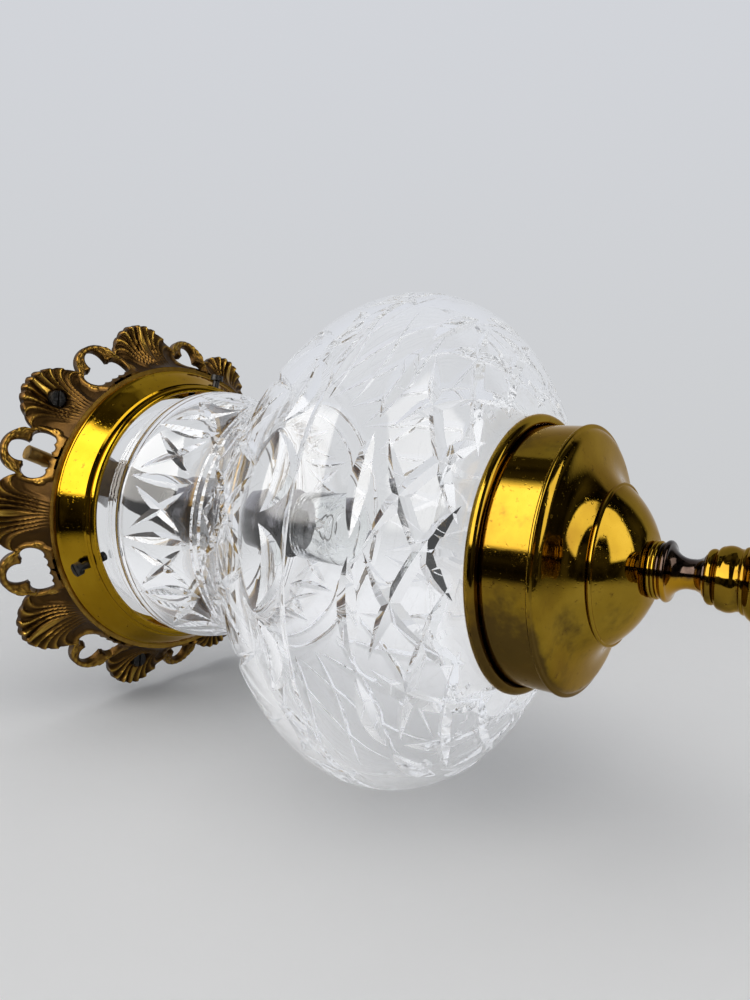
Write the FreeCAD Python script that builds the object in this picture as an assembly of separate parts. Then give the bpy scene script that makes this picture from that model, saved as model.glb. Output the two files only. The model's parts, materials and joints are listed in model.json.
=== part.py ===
"""Cut-glass hall lantern that hangs from a ceiling by a ring of cast brass leaves.

The ceiling is the plane z = 0 and the lantern hangs below it, so heights are negative.
Angles are counted round the vertical axis from the -Y side towards +X.
"""
import FreeCAD, Part
import math
import os

os.makedirs("parts", exist_ok=True)

Vector = FreeCAD.Vector
UP = Vector(0, 0, 1)
DOWN = Vector(0, 0, -1)
CENTRE = Vector(0, 0, 0)

# Clearances
seat_gap = 0.3
running_gap = 0.08
hole_gap = 0.25

# Cast leaf gallery
leaf_count = 9
first_leaf_angle = -1.6
leaf_tip_radius = 83.0
gallery_root_radius = 63.8
leaf_half_angle = 12.6
leaf_lobes = 9
leaf_notch_depth = 0.7
leaf_sweep_radius = 18.7
leaf_thickness = 2.8
gallery_bore_radius = 50.0
foot_drop = 17.0
foot_thickness = 2.6

# Places and radii on a leaf, as shares of its length from root to tip
leaf_edge_fall_share = 0.57
arch_top_share = 0.80
outer_lobe_share = 0.208
outer_lobe_place_share = 0.463
side_lobe_share = 0.167
side_lobe_place_share = 0.10
side_lobe_angle = 4.4
lobe_web_share = 0.182
lobe_web_place_share = 0.26
ceiling_screw_share = 0.39

# Ceiling screws in every third leaf
ceiling_screw_count = 3
ceiling_screw_radius = 2.0
ceiling_screw_stand = 12.0
ceiling_neck_radius = 2.5
ceiling_recess_radius = 3.6
ceiling_recess_depth = 0.6
ceiling_boss_radius = 5.0
screw_head_radius = 3.2
screw_head_height = 2.2
screw_slot_width = 0.9
screw_slot_depth = 1.1

# Spun collar band
collar_sheet = 1.6
collar_back_radius = 63.2
collar_lip_radius = 54.6
collar_band_height = 12.4
collar_bead_radius = 1.1
collar_line_share = 0.7
collar_line_depth = 0.5

# Retaining screws that grip the glass
grip_screw_count = 3
first_grip_angle = -21.6
grip_screw_drop = 29.0
grip_screw_radius = 1.5
grip_head_radius = 2.75
grip_head_length = 2.4
grip_neck_length = 2.0
grip_boss_radius = 3.6
grip_travel = 3.4
pad_radius = 1.9
pad_length = 1.8

# Cut glass globe
glass_wall = 4.5
glass_end_gap = 2.0
glass_end_radius = 46.2
glass_grip_radius = 48.2
glass_grip_below = 2.0
glass_bulge_drop = 46.0
glass_bulge_radius = 52.9
glass_waist_drop = 68.0
glass_waist_radius = 48.0
glass_flare_drop = 92.0
glass_flare_radius = 52.0
glass_slope_drop = 120.0
glass_slope_radius = 68.3
glass_shoulder_drop = 141.0
glass_shoulder_radius = 81.8
glass_belly_drop = 156.0
glass_belly_radius = 84.6
glass_bowl_drop = 174.8
glass_bowl_radius = 76.1
glass_cone_drop = 183.9
glass_cone_radius = 63.9
glass_base_drop = 189.7
glass_base_radius = 54.0
glass_foot_radius = 44.8
glass_foot_fall = 2.9
glass_bottom_fall = 3.0
washer_seat_margin = 1.0

# Cross strap, its screws and the brass earth terminal
strap_angle = 18.4
strap_width = 18.0
strap_thickness = 2.0
strap_half_length = 59.0
strap_screw_place = 54.5
strap_screw_radius = 2.0
nut_across_flats = 7.0
nut_height = 3.0
terminal_post_radius = 3.2
terminal_post_height = 6.9
terminal_body_radius = 3.0
terminal_body_length = 17.7
terminal_inner_overlap = 2.6
terminal_wire_hole = 1.7
earth_screw_radius = 1.25
earth_head_radius = 2.6
earth_head_height = 1.6

# Threaded nipple and its nuts
nipple_radius = 5.0
nipple_bore = 3.6
nipple_top_drop = 9.6
nipple_bottom_drop = 38.0
nipple_nut_flats = 14.0
nipple_nut_height = 2.6
nipple_washer_radius = 8.0
nipple_washer_thickness = 0.9

# Terminal block on the strap
block_place = 22.0
block_length = 11.0
block_width = 19.0
block_height = 10.2
block_wall = 1.0
way_spacing = 9.0
insert_radius = 2.3
insert_bore = 1.35
way_height = 6.4
way_screw_radius = 1.3
way_screw_hole = 1.6
block_screw_radius = 1.3
block_screw_head = 2.1

# Insulated leads from the block to the lampholder
lead_radius = 0.95
lead_bend = 4.0
lead_offset = 1.25

# Lampholder
holder_radius = 13.8
holder_sheet = 0.8
holder_neck_radius = 6.8
holder_neck_drop = 29.0
holder_dome_drop = 33.0
holder_shell_drop = 41.0
holder_joint_drop = 48.0
holder_end_drop = 87.4
holder_ring_height = 3.2
holder_ring_proud = 0.5
core_top_drop = 44.0
core_cavity = 17.0
core_wire_hole = 1.2
lamp_thread_radius = 7.0
lamp_shell_sheet = 0.5
tab_thickness = 0.5
tab_width = 4.0
tab_length = 6.0
tab_rise = 1.4
holder_terminal_radius = 1.4
holder_terminal_length = 5.0
holder_terminal_place = 8.6

# Tubular clear bulb
bulb_radius = 13.7
bulb_glass = 0.8
bulb_end_drop = 119.6
bulb_corner = 3.0
bulb_neck_radius = 5.9
bulb_shoulder_length = 6.0
bulb_base_radius = 6.9
bulb_base_sheet = 0.4
bulb_base_length = 23.0
bulb_tip_radius = 2.4
bulb_tip_height = 1.3
bulb_insulator_height = 2.6
stem_radius = 1.5
stem_length = 20.0
support_radius = 0.3
filament_radius = 5.0
filament_wire = 0.3
filament_lead = 8.0

# Tie rod through the bottom of the globe
rod_radius = 3.0
rod_nut_flats = 10.0
rod_nut_height = 5.0
rod_end_spare = 1.8
rod_washer_radius = 9.0
brass_washer_thickness = 1.0
rubber_washer_thickness = 1.5

# Spun cap under the globe
cap_sheet = 1.0
cap_rim_radius = 44.8
cap_rim_height = 3.7
cap_rim_width = 3.1
cap_wall_radius = 41.4
cap_wall_height = 16.1
cap_step = 0.9
cap_shoulder_radius = 34.6
cap_shoulder_round = 2.1
cap_throat_radius = 24.0
cap_throat_height = 6.7
cap_bead_proud = 0.6
cap_bead_height = 1.0
cap_dome_radius = 31.0
cap_seat_radius = 10.5

# Turned finial
washer_radius = 8.6
washer_height = 2.3
reel_step_radius = 8.2
reel_step_height = 1.1
reel_flange_radius = 9.05
reel_flange_height = 1.9
reel_shoulder_radius = 7.8
reel_sweep_radius = 5.4
reel_waist_radius = 4.4
reel_end_radius = 6.2
reel_height = 12.8
reel_grip = 7.0
barrel_ring_radius = 7.95
barrel_ring_height = 2.4
barrel_bulge_radius = 9.3
barrel_bulge_height = 5.7
barrel_dip_radius = 8.8
barrel_dip_height = 1.4
barrel_body_radius = 11.4
barrel_body_height = 12.0
knob_neck_radius = 4.4
knob_neck_height = 3.2
knob_radius = 5.6
spigot_radius = 2.0
spigot_length = 4.5

# Points where curves are drawn through, as shares of the piece they belong to
DIAGONAL = math.sqrt(0.5)
wire_place_share = 0.4
way_screw_shares = (0.3, 0.7)
cap_round_in_share = 0.3
cap_round_down_share = 0.4
reel_waist_share = 0.7
reel_sweep_share = 0.38
reel_cove_share = 0.13
barrel_widest_share = 0.35
barrel_low_share = 0.75
barrel_foot_ring = 1.0
barrel_foot_height = 0.6
knob_ring_proud = 0.8
knob_ring_height = 1.0
knob_waist_share = 0.75

# Places and levels that follow from the sizes above
leaf_length = leaf_tip_radius - gallery_root_radius
ceiling_screw_circle = gallery_root_radius + ceiling_screw_share * leaf_length
strap_bottom = -foot_drop
strap_top = strap_bottom + strap_thickness
foot_bottom = strap_bottom - foot_thickness
flange_bottom = foot_bottom - collar_sheet
lip_level = flange_bottom - collar_band_height
grip_level = -grip_screw_drop
sweep_centre_radius = gallery_root_radius + leaf_sweep_radius
sweep_centre_level = -(leaf_sweep_radius + leaf_thickness)
glass_end_level = strap_bottom - glass_end_gap
glass_foot_level = -(glass_base_drop + glass_foot_fall)
glass_bottom_level = glass_foot_level - glass_bottom_fall
glass_floor_level = glass_bottom_level + glass_wall
washer_seat_radius = rod_washer_radius + washer_seat_margin
cap_top_level = glass_foot_level - seat_gap
tab_level = -(core_top_drop + core_cavity)
bulb_tip_level = tab_level - tab_rise - seat_gap


def polar(radius, angle, level=0.0):
    """Point at a radius and an angle in degrees from the -Y side towards +X."""
    turn = math.radians(angle)
    return Vector(radius * math.sin(turn), -radius * math.cos(turn), level)


def outward(angle):
    """Unit vector that points away from the axis at an angle."""
    return polar(1.0, angle)


def rod_between(start, end, radius):
    """Round bar from one point to another."""
    run = end - start
    return Part.makeCylinder(radius, run.Length, start, run)


def disc(radius, low, high):
    """Upright cylinder on the axis between two levels."""
    return Part.makeCylinder(radius, high - low, Vector(0, 0, low), UP)


def tube(outer, inner, low, high):
    """Upright tube on the axis between two levels."""
    return disc(outer, low, high).cut(disc(inner, low, high))


def spun(*steps):
    """Solid of revolution about Z from (radius, level) points.

    A step of two points is an arc: through the first, to the second.
    """
    def place(step):
        return Vector(step[0], 0, step[1])

    edges = []
    here = place(steps[0])
    for step in steps[1:] + (steps[0],):
        if isinstance(step[0], tuple):
            end = place(step[1])
            edges.append(Part.Arc(here, place(step[0]), end).toShape())
        else:
            end = place(step)
            edges.append(Part.LineSegment(here, end).toShape())
        here = end
    face = Part.Face(Part.Wire(edges))
    return face.revolve(CENTRE, UP, 360)


def hexagon(across_flats, low, high, bore):
    """Hexagon nut on the axis with its bore."""
    corner = across_flats / math.sqrt(3)
    points = [polar(corner, 60 * side, low) for side in range(7)]
    body = Part.Face(Part.makePolygon(points)).extrude(Vector(0, 0, high - low))
    return body.cut(disc(bore, low, high))


def slotted_head(radius, height):
    """Cheese head on the plane z = 0, pointing up, with its screwdriver slot."""
    head = Part.makeCylinder(radius, height, CENTRE, UP)
    corner = Vector(-radius, -screw_slot_width / 2, height - screw_slot_depth)
    slot = Part.makeBox(2 * radius, screw_slot_width, screw_slot_depth, corner)
    return head.cut(slot)


def slotted_screw(head_radius, head_height, shank_radius, shank_length):
    """Screw whose head sits on z = 0 and points up, with the shank below."""
    shank = Part.makeCylinder(shank_radius, shank_length, CENTRE, DOWN)
    return slotted_head(head_radius, head_height).fuse(shank).removeSplitter()


def aimed(shape, position, direction):
    """Copy of a shape built along +Z, turned to a direction and moved to a position."""
    turned = shape.copy()
    turned.Placement = FreeCAD.Placement(position, FreeCAD.Rotation(UP, direction))
    return turned


def on_strap(shape):
    """Turn a shape built along +X to the direction of the cross strap."""
    turned = shape.copy()
    turned.rotate(CENTRE, UP, strap_angle - 90)
    return turned


def save(name, *solids):
    """Write one sub-part."""
    shape = solids[0] if len(solids) == 1 else Part.makeCompound(list(solids))
    shape.exportStep("parts/%s.step" % name)


# Leaf gallery
def leaf_edge(offset):
    """Radius of a leaf's edge at an angle from the leaf's middle."""
    fall = leaf_edge_fall_share * (offset / leaf_half_angle) ** 2
    return leaf_tip_radius - fall * leaf_length


def gallery_outline():
    """Scalloped outer edge of the leaves, with an arch from each leaf to the next."""
    pitch = 360 / leaf_count
    lobe = 2 * leaf_half_angle / leaf_lobes
    edges = []
    for leaf in range(leaf_count):
        middle = first_leaf_angle + leaf * pitch
        for number in range(leaf_lobes):
            low = number * lobe - leaf_half_angle
            start = polar(leaf_edge(low) - leaf_notch_depth, middle + low)
            crest = polar(leaf_edge(low + lobe / 2), middle + low + lobe / 2)
            end = polar(leaf_edge(low + lobe) - leaf_notch_depth, middle + low + lobe)
            edges.append(Part.Arc(start, crest, end).toShape())
        notch = leaf_edge(leaf_half_angle) - leaf_notch_depth
        arch_start = polar(notch, middle + leaf_half_angle)
        arch_top = polar(gallery_root_radius + arch_top_share * leaf_length, middle + pitch / 2)
        arch_end = polar(notch, middle + pitch - leaf_half_angle)
        edges.append(Part.Arc(arch_start, arch_top, arch_end).toShape())
    return Part.Wire(edges)


def trefoils():
    """Three-lobed openings between the leaves, each as upright cylinders."""
    pitch = 360 / leaf_count
    cutters = []
    for gap in range(leaf_count):
        middle = first_leaf_angle + (gap + 0.5) * pitch
        lobes = [(outer_lobe_share, outer_lobe_place_share, 0), (lobe_web_share, lobe_web_place_share, 0)]
        lobes += [(side_lobe_share, side_lobe_place_share, side * side_lobe_angle) for side in (-1, 1)]
        for size, place, turn in lobes:
            base = polar(gallery_root_radius + place * leaf_length, middle + turn, strap_bottom)
            height = foot_drop + leaf_thickness
            cutters.append(Part.makeCylinder(size * leaf_length, height, base, UP))
    return cutters


def ceiling_screw_angles():
    """The screws stand in every third leaf, one leaf on from the first."""
    start = first_leaf_angle + 360 / leaf_count
    return [start + number * 360 / ceiling_screw_count for number in range(ceiling_screw_count)]


def sweep_level(radius, sweep):
    """Height of the leaf's curved face at a radius, for the front or the back sweep."""
    reach = sweep_centre_radius - radius
    return sweep_centre_level + math.sqrt(sweep ** 2 - reach ** 2)


def sweep_radius_at(level, sweep):
    """Radius of the leaf's curved face at a height."""
    return sweep_centre_radius - math.sqrt(sweep ** 2 - (level - sweep_centre_level) ** 2)


def leaf_gallery():
    back_sweep = leaf_sweep_radius + leaf_thickness
    front_foot = sweep_radius_at(foot_bottom, leaf_sweep_radius)
    back_foot = sweep_radius_at(strap_bottom, back_sweep)
    rim = leaf_tip_radius + leaf_sweep_radius
    shell = spun(
        (gallery_bore_radius, foot_bottom),
        (front_foot, foot_bottom),
        ((sweep_centre_radius - leaf_sweep_radius * DIAGONAL,
          sweep_centre_level + leaf_sweep_radius * DIAGONAL),
         (sweep_centre_radius, -leaf_thickness)),
        (rim, -leaf_thickness),
        (rim, 0),
        (sweep_centre_radius, 0),
        ((sweep_centre_radius - back_sweep * DIAGONAL,
          sweep_centre_level + back_sweep * DIAGONAL),
         (back_foot, strap_bottom)),
        (gallery_bore_radius, strap_bottom),
    )
    outline = Part.Face(gallery_outline())
    outline.translate(Vector(0, 0, foot_bottom))
    leaves = shell.common(outline.extrude(Vector(0, 0, -foot_bottom)))
    front = sweep_level(ceiling_screw_circle, leaf_sweep_radius)
    for angle in ceiling_screw_angles():
        base = polar(ceiling_screw_circle, angle, front)
        leaves = leaves.fuse(Part.makeCylinder(ceiling_boss_radius, -front, base, UP))
    cutters = trefoils()
    for angle in ceiling_screw_angles():
        base = polar(ceiling_screw_circle, angle, foot_bottom)
        recess = polar(ceiling_screw_circle, angle, -ceiling_recess_depth)
        cutters.append(Part.makeCylinder(ceiling_neck_radius + hole_gap, -foot_bottom, base, UP))
        cutters.append(Part.makeCylinder(ceiling_recess_radius, ceiling_recess_depth, recess, UP))
        cutters.append(Part.makeCylinder(screw_head_radius + hole_gap, front - foot_bottom, base, UP))
    return leaves.cut(cutters + strap_screw_holes(foot_bottom, strap_bottom)).removeSplitter()


def ceiling_screws():
    """Cheese-head screws that stand out above the leaves and hold the lantern up.

    Each has a plain neck in its leaf, and its thread starts in the recess behind the leaf.
    """
    seat = sweep_level(ceiling_screw_circle, leaf_sweep_radius)
    neck_length = -seat - ceiling_recess_depth / 2
    neck = Part.makeCylinder(ceiling_neck_radius, neck_length, CENTRE, DOWN)
    screw = slotted_screw(screw_head_radius, screw_head_height, ceiling_screw_radius,
                          ceiling_screw_stand - seat).fuse(neck).removeSplitter()
    return [aimed(screw, polar(ceiling_screw_circle, angle, seat), DOWN)
            for angle in ceiling_screw_angles()]


# Collar band
def collar_radius_at(level):
    """Outside radius of the collar's conical band at a height."""
    share = (flange_bottom - level) / collar_band_height
    return collar_back_radius + share * (collar_lip_radius - collar_back_radius)


def grip_angles():
    return [first_grip_angle + number * 360 / grip_screw_count
            for number in range(grip_screw_count)]


def collar_band():
    line_level = flange_bottom - collar_line_share * collar_band_height
    line_radius = collar_radius_at(line_level)
    sheet = collar_sheet
    band = spun(
        (gallery_bore_radius, foot_bottom),
        (collar_back_radius, foot_bottom),
        (collar_back_radius, flange_bottom + sheet / 4),
        (collar_back_radius - sheet / 4, flange_bottom),
        (line_radius, line_level + collar_line_depth),
        (line_radius - collar_line_depth, line_level),
        (collar_radius_at(line_level - collar_line_depth), line_level - collar_line_depth),
        (collar_lip_radius, lip_level),
        (collar_lip_radius - sheet, lip_level),
        (collar_back_radius - 2 * sheet, flange_bottom),
        (gallery_bore_radius, flange_bottom),
    )
    bead = Part.makeTorus(collar_lip_radius - sheet / 2, collar_bead_radius,
                          Vector(0, 0, lip_level), UP)
    band = band.fuse(bead)
    hole = grip_screw_radius + running_gap
    reach = collar_radius_at(grip_level)
    inside = grip_boss_start()
    for angle in grip_angles():
        start = polar(inside, angle, grip_level)
        boss = rod_between(start, polar(reach - sheet / 2, angle, grip_level), grip_boss_radius)
        band = band.fuse(boss.cut(outside_of_band()))
    cutters = [rod_between(polar(inside - sheet, angle, grip_level),
                           polar(reach + grip_neck_length, angle, grip_level), hole)
               for angle in grip_angles()]
    return band.cut(cutters + strap_screw_holes(flange_bottom, foot_bottom)).removeSplitter()


def outside_of_band():
    """Space outside the middle of the band's sheet, which trims the screw bosses."""
    middle = collar_sheet / 2
    reach = collar_back_radius + grip_boss_radius
    return spun(
        (collar_radius_at(flange_bottom) - middle, flange_bottom),
        (collar_lip_radius - middle, lip_level),
        (collar_lip_radius - middle, lip_level - grip_boss_radius),
        (reach, lip_level - grip_boss_radius),
        (reach, flange_bottom),
    )


# Retaining screws with their soft pads
def pad_start():
    """Inner end of a pad, clear of the glass that widens below the screw."""
    low = glass_radius_at(grip_level - pad_radius)
    return low + seat_gap


def grip_boss_start():
    """Inner end of a screw boss, clear of the pad when the screw is wound out."""
    return pad_start() + pad_length + grip_travel + seat_gap


def glass_pad(angle):
    start = pad_start()
    return rod_between(polar(start, angle, grip_level),
                       polar(start + pad_length, angle, grip_level), pad_radius)


def retaining_screw(angle):
    """Black screw with a round head, which grips the glass through its pad."""
    tip = pad_start() + pad_length + seat_gap
    seat = collar_radius_at(grip_level) + grip_neck_length
    screw = slotted_screw(grip_head_radius, grip_head_length, grip_screw_radius, seat - tip)
    return aimed(screw, polar(seat, angle, grip_level), outward(angle))


# Glass globe
def glass_profile():
    """Outer radius and level of the globe, from the neck's end to the bottom."""
    return [
        (glass_end_radius, glass_end_level),
        (glass_grip_radius, grip_level - glass_grip_below),
        (glass_bulge_radius, -glass_bulge_drop),
        (glass_waist_radius, -glass_waist_drop),
        (glass_flare_radius, -glass_flare_drop),
        (glass_slope_radius, -glass_slope_drop),
        (glass_shoulder_radius, -glass_shoulder_drop),
        (glass_belly_radius, -glass_belly_drop),
        (glass_bowl_radius, -glass_bowl_drop),
        (glass_cone_radius, -glass_cone_drop),
        (glass_base_radius, -glass_base_drop),
    ]


def smooth_curve(points):
    curve = Part.BSplineCurve()
    curve.interpolate([Vector(radius, 0, level) for radius, level in points])
    return curve


def glass_radius_at(level):
    """Outer radius of the neck at a height."""
    curve = smooth_curve(glass_profile())
    bulge = curve.parameter(Vector(glass_bulge_radius, 0, -glass_bulge_drop))
    low, high = curve.FirstParameter, bulge
    while high - low > 1e-6:
        middle = (low + high) / 2
        if curve.value(middle).z > level:
            low = middle
        else:
            high = middle
    return curve.value(low).x


def inset(curve, depth):
    """Same curve moved inwards by a depth, through its own knots and their midpoints."""
    knots = curve.getKnots()
    places = sorted(knots + [(one + two) / 2 for one, two in zip(knots, knots[1:])])
    points = []
    for place in places:
        along = curve.tangent(place)[0]
        inward = Vector(along.z, 0, -along.x)
        points.append(curve.value(place) + inward * depth)
    inner = Part.BSplineCurve()
    inner.interpolate(points)
    return inner


def cut_glass_globe():
    outer = smooth_curve(glass_profile())
    inner = inset(outer, glass_wall)
    outer_end = outer.value(outer.LastParameter)
    inner_end = inner.value(inner.LastParameter)
    hole = rod_radius + hole_gap
    corners = [
        outer_end,
        Vector(glass_foot_radius, 0, glass_foot_level),
        Vector(washer_seat_radius, 0, glass_bottom_level),
        Vector(hole, 0, glass_bottom_level),
        Vector(hole, 0, glass_floor_level),
        Vector(washer_seat_radius, 0, glass_floor_level),
        inner_end,
    ]
    edges = [outer.toShape(), inner.toShape()]
    edges += [Part.LineSegment(*pair).toShape() for pair in zip(corners, corners[1:])]
    edges.append(Part.LineSegment(inner.value(inner.FirstParameter),
                                  outer.value(outer.FirstParameter)).toShape())
    face = Part.Face(Part.Wire(Part.__sortEdges__(edges)))
    return face.revolve(CENTRE, UP, 360)


def glass_underside(radius):
    """Height of the flattened bottom between the washer's seat and the foot."""
    share = (glass_foot_radius - radius) / (glass_foot_radius - washer_seat_radius)
    return glass_foot_level + share * (glass_bottom_level - glass_foot_level)


# Tie rod with its washers and nuts
def tie_rod():
    top = glass_floor_level + rubber_washer_thickness + brass_washer_thickness
    top += rod_nut_height + rod_end_spare
    return disc(rod_radius, reel_top_level() - reel_grip, top)


def stacked_washer(radius, thickness, start, side):
    """Washer on the rod on one side of the glass, the given distance from it."""
    face = glass_floor_level if side > 0 else glass_bottom_level
    low, high = sorted((face + side * start, face + side * (start + thickness)))
    return tube(radius, rod_radius + hole_gap, low, high)


def rod_nut(side):
    start = rubber_washer_thickness + brass_washer_thickness
    face = glass_floor_level if side > 0 else glass_bottom_level
    low, high = sorted((face + side * start, face + side * (start + rod_nut_height)))
    return hexagon(rod_nut_flats, low, high, rod_radius)


# Cap
def cap_levels():
    """Heights of the cap's steps, from the rim down."""
    edge = cap_top_level - cap_rim_height - cap_wall_height + cap_step
    shoulder = edge - cap_shoulder_round
    throat = shoulder - cap_throat_height
    bead = throat - cap_bead_height
    return edge, shoulder, throat, bead


def dome_level(radius, dome):
    """Height of the cap's small dome at a radius."""
    bead = cap_levels()[3]
    start = cap_throat_radius
    centre = bead + math.sqrt(cap_dome_radius ** 2 - start ** 2)
    return centre - math.sqrt(dome ** 2 - radius ** 2)


def cap_seat_level():
    return dome_level(cap_seat_radius, cap_dome_radius)


def cap():
    """Spun sheet cap: wall, sharp edge, rolled shoulder, throat, bead and small dome."""
    edge, shoulder, throat, bead = cap_levels()
    sheet = cap_sheet
    wall_top = cap_top_level - cap_rim_height / 2
    edge_radius = cap_wall_radius - cap_step
    round_radius = edge_radius - (edge_radius - cap_shoulder_radius) * cap_round_in_share
    round_level = edge - cap_shoulder_round * cap_round_down_share
    cove_radius = (cap_shoulder_radius + cap_throat_radius) / 2 - cap_shoulder_round / 3
    cove_level = (shoulder + throat) / 2 + cap_shoulder_round / 3
    inner_dome = cap_dome_radius - sheet
    dome_mid = (cap_throat_radius + cap_seat_radius) / 2
    seat = cap_seat_level()
    hole = rod_radius + running_gap
    lean = sheet * DIAGONAL
    return spun(
        (cap_wall_radius, wall_top),
        (cap_wall_radius, edge + cap_step),
        (cap_wall_radius + cap_step / 2, edge + cap_step / 2),
        (edge_radius, edge),
        ((round_radius, round_level), (cap_shoulder_radius, shoulder)),
        ((cove_radius, cove_level), (cap_throat_radius, throat)),
        (cap_throat_radius + cap_bead_proud, throat - cap_bead_height / 2),
        (cap_throat_radius, bead),
        ((dome_mid, dome_level(dome_mid, cap_dome_radius)), (cap_seat_radius, seat)),
        (hole, seat),
        (hole, seat + sheet),
        (cap_seat_radius, seat + sheet),
        ((dome_mid - sheet, dome_level(dome_mid - sheet, inner_dome)),
         (cap_throat_radius - sheet, bead + sheet / 2)),
        (cap_throat_radius - sheet, throat + sheet / 2),
        ((cove_radius - lean, cove_level + sheet), (cap_shoulder_radius - lean, shoulder + sheet)),
        ((round_radius - sheet, round_level + sheet), (edge_radius - sheet, edge + sheet)),
        (cap_wall_radius - sheet, edge + cap_step + sheet),
        (cap_wall_radius - sheet, wall_top),
    )


def cap_rim():
    """Turned ring round the mouth of the cap, which rests against the glass."""
    low = cap_top_level - cap_rim_height
    inner = cap_wall_radius
    lip = cap_rim_radius - cap_rim_width
    half = cap_rim_height / 2
    mouth = inner - cap_sheet
    return spun(
        (mouth, glass_underside(mouth) - seat_gap),
        (cap_rim_radius - half, glass_underside(cap_rim_radius - half) - seat_gap),
        ((cap_rim_radius, cap_top_level - half), (cap_rim_radius - half, low)),
        (max(lip, inner), low),
        (inner, low),
        (inner, cap_top_level - half),
        (mouth, cap_top_level - half),
    )


# Finial
def reel_top_level():
    return cap_seat_level() - seat_gap - washer_height


def finial_washer():
    """Small brass washer turned with two beads."""
    low = reel_top_level()
    high = cap_seat_level() - seat_gap
    middle = (low + high) / 2
    quarter = washer_height / 4
    hole = rod_radius + running_gap
    return spun(
        (hole, low), (washer_radius - quarter, low),
        ((washer_radius, low + quarter), (washer_radius - quarter, middle)),
        ((washer_radius, high - quarter), (washer_radius - quarter, high)),
        (hole, high),
    )


def finial_reel():
    """Dark waisted reel that screws onto the tie rod."""
    top = reel_top_level()
    low = top - reel_height
    half = reel_flange_height / 2
    bead_top = top - reel_step_height
    bead_low = bead_top - reel_flange_height
    waist = top - reel_height * reel_waist_share
    cove = reel_waist_radius + half / 2
    body = spun(
        (0, low), (reel_end_radius, low), (reel_end_radius, low + half / 2),
        ((cove, low + reel_height * reel_cove_share), (reel_waist_radius, waist)),
        ((reel_sweep_radius, top - reel_height * reel_sweep_share), (reel_shoulder_radius, bead_low)),
        (reel_flange_radius - half, bead_low),
        ((reel_flange_radius, bead_top - half), (reel_flange_radius - half, bead_top)),
        (reel_step_radius, bead_top), (reel_step_radius, top),
        (0, top),
    )
    grip = disc(rod_radius + running_gap, top - reel_grip - seat_gap, top)
    return body.cut(grip).cut(disc(spigot_radius, low, low + spigot_length))


def finial_barrel():
    """Brass barrel with turned rings, on a spigot in the reel."""
    top = reel_top_level() - reel_height
    ring = top - barrel_ring_height
    ring_half = barrel_ring_height / 2
    bulge_low = ring - barrel_bulge_height
    dip_low = bulge_low - barrel_dip_height
    body_low = dip_low - barrel_body_height
    foot = knob_neck_radius + barrel_foot_ring
    body = spun(
        (0, top), (barrel_ring_radius - ring_half, top),
        ((barrel_ring_radius, top - ring_half), (barrel_ring_radius - ring_half, ring)),
        ((barrel_bulge_radius, ring - barrel_bulge_height / 2), (barrel_dip_radius, bulge_low)),
        (barrel_dip_radius, dip_low),
        ((barrel_body_radius, dip_low - barrel_body_height * barrel_widest_share),
         (barrel_body_radius * barrel_low_share, dip_low - barrel_body_height * barrel_low_share)),
        (foot, body_low + barrel_foot_height),
        (foot, body_low),
        (0, body_low),
    )
    spigot = disc(spigot_radius, top, top + spigot_length - seat_gap)
    socket = disc(spigot_radius, body_low, body_low + spigot_length)
    return body.fuse(spigot).cut(socket).removeSplitter()


def knob_level():
    drop = barrel_ring_height + barrel_bulge_height + barrel_dip_height + barrel_body_height
    return reel_top_level() - reel_height - drop


def finial_knob():
    """Button that ends the lantern."""
    top = knob_level()
    neck_low = top - knob_neck_height
    half = knob_ring_height / 2
    ring = knob_neck_radius + knob_ring_proud
    neck = knob_neck_radius * knob_waist_share
    centre = neck_low - math.sqrt(knob_radius ** 2 - neck ** 2)
    body = spun(
        (0, top), (ring - half, top), ((ring, top - half), (ring - half, top - knob_ring_height)),
        (neck, neck_low),
        ((knob_radius, centre), (0, centre - knob_radius)),
    )
    spigot = disc(spigot_radius, top, top + spigot_length - seat_gap)
    return body.fuse(spigot).removeSplitter()


# Cross strap and its fittings
def strap_screw_holes(low, high):
    """Clearance holes for the strap's screws between two levels."""
    return [on_strap(Part.makeCylinder(strap_screw_radius + hole_gap, high - low,
                                       Vector(side * strap_screw_place, 0, low), UP))
            for side in (-1, 1)]


def cross_strap():
    corner = Vector(-strap_half_length, -strap_width / 2, strap_bottom)
    bar = Part.makeBox(2 * strap_half_length, strap_width, strap_thickness, corner)
    bar = bar.common(disc(strap_half_length, strap_bottom, strap_top))
    bar = bar.cut(disc(nipple_radius + hole_gap, strap_bottom, strap_top))
    pilot = Part.makeCylinder(block_screw_radius, strap_thickness,
                              Vector(-block_middle(), 0, strap_bottom), UP)
    return on_strap(bar).cut(strap_screw_holes(strap_bottom, strap_top) + [on_strap(pilot)])


def strap_screws():
    """Two screws from below through the collar, the gallery and the strap."""
    length = strap_top + nut_height - flange_bottom
    screw = slotted_screw(screw_head_radius, screw_head_height, strap_screw_radius, length)
    return [on_strap(aimed(screw, Vector(side * strap_screw_place, 0, flange_bottom), DOWN))
            for side in (-1, 1)]


def strap_nut():
    nut = hexagon(nut_across_flats, strap_top, strap_top + nut_height, strap_screw_radius)
    nut.translate(Vector(-strap_screw_place, 0, 0))
    return on_strap(nut)


def terminal_axis_level():
    return strap_top + terminal_post_height + terminal_body_radius


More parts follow.
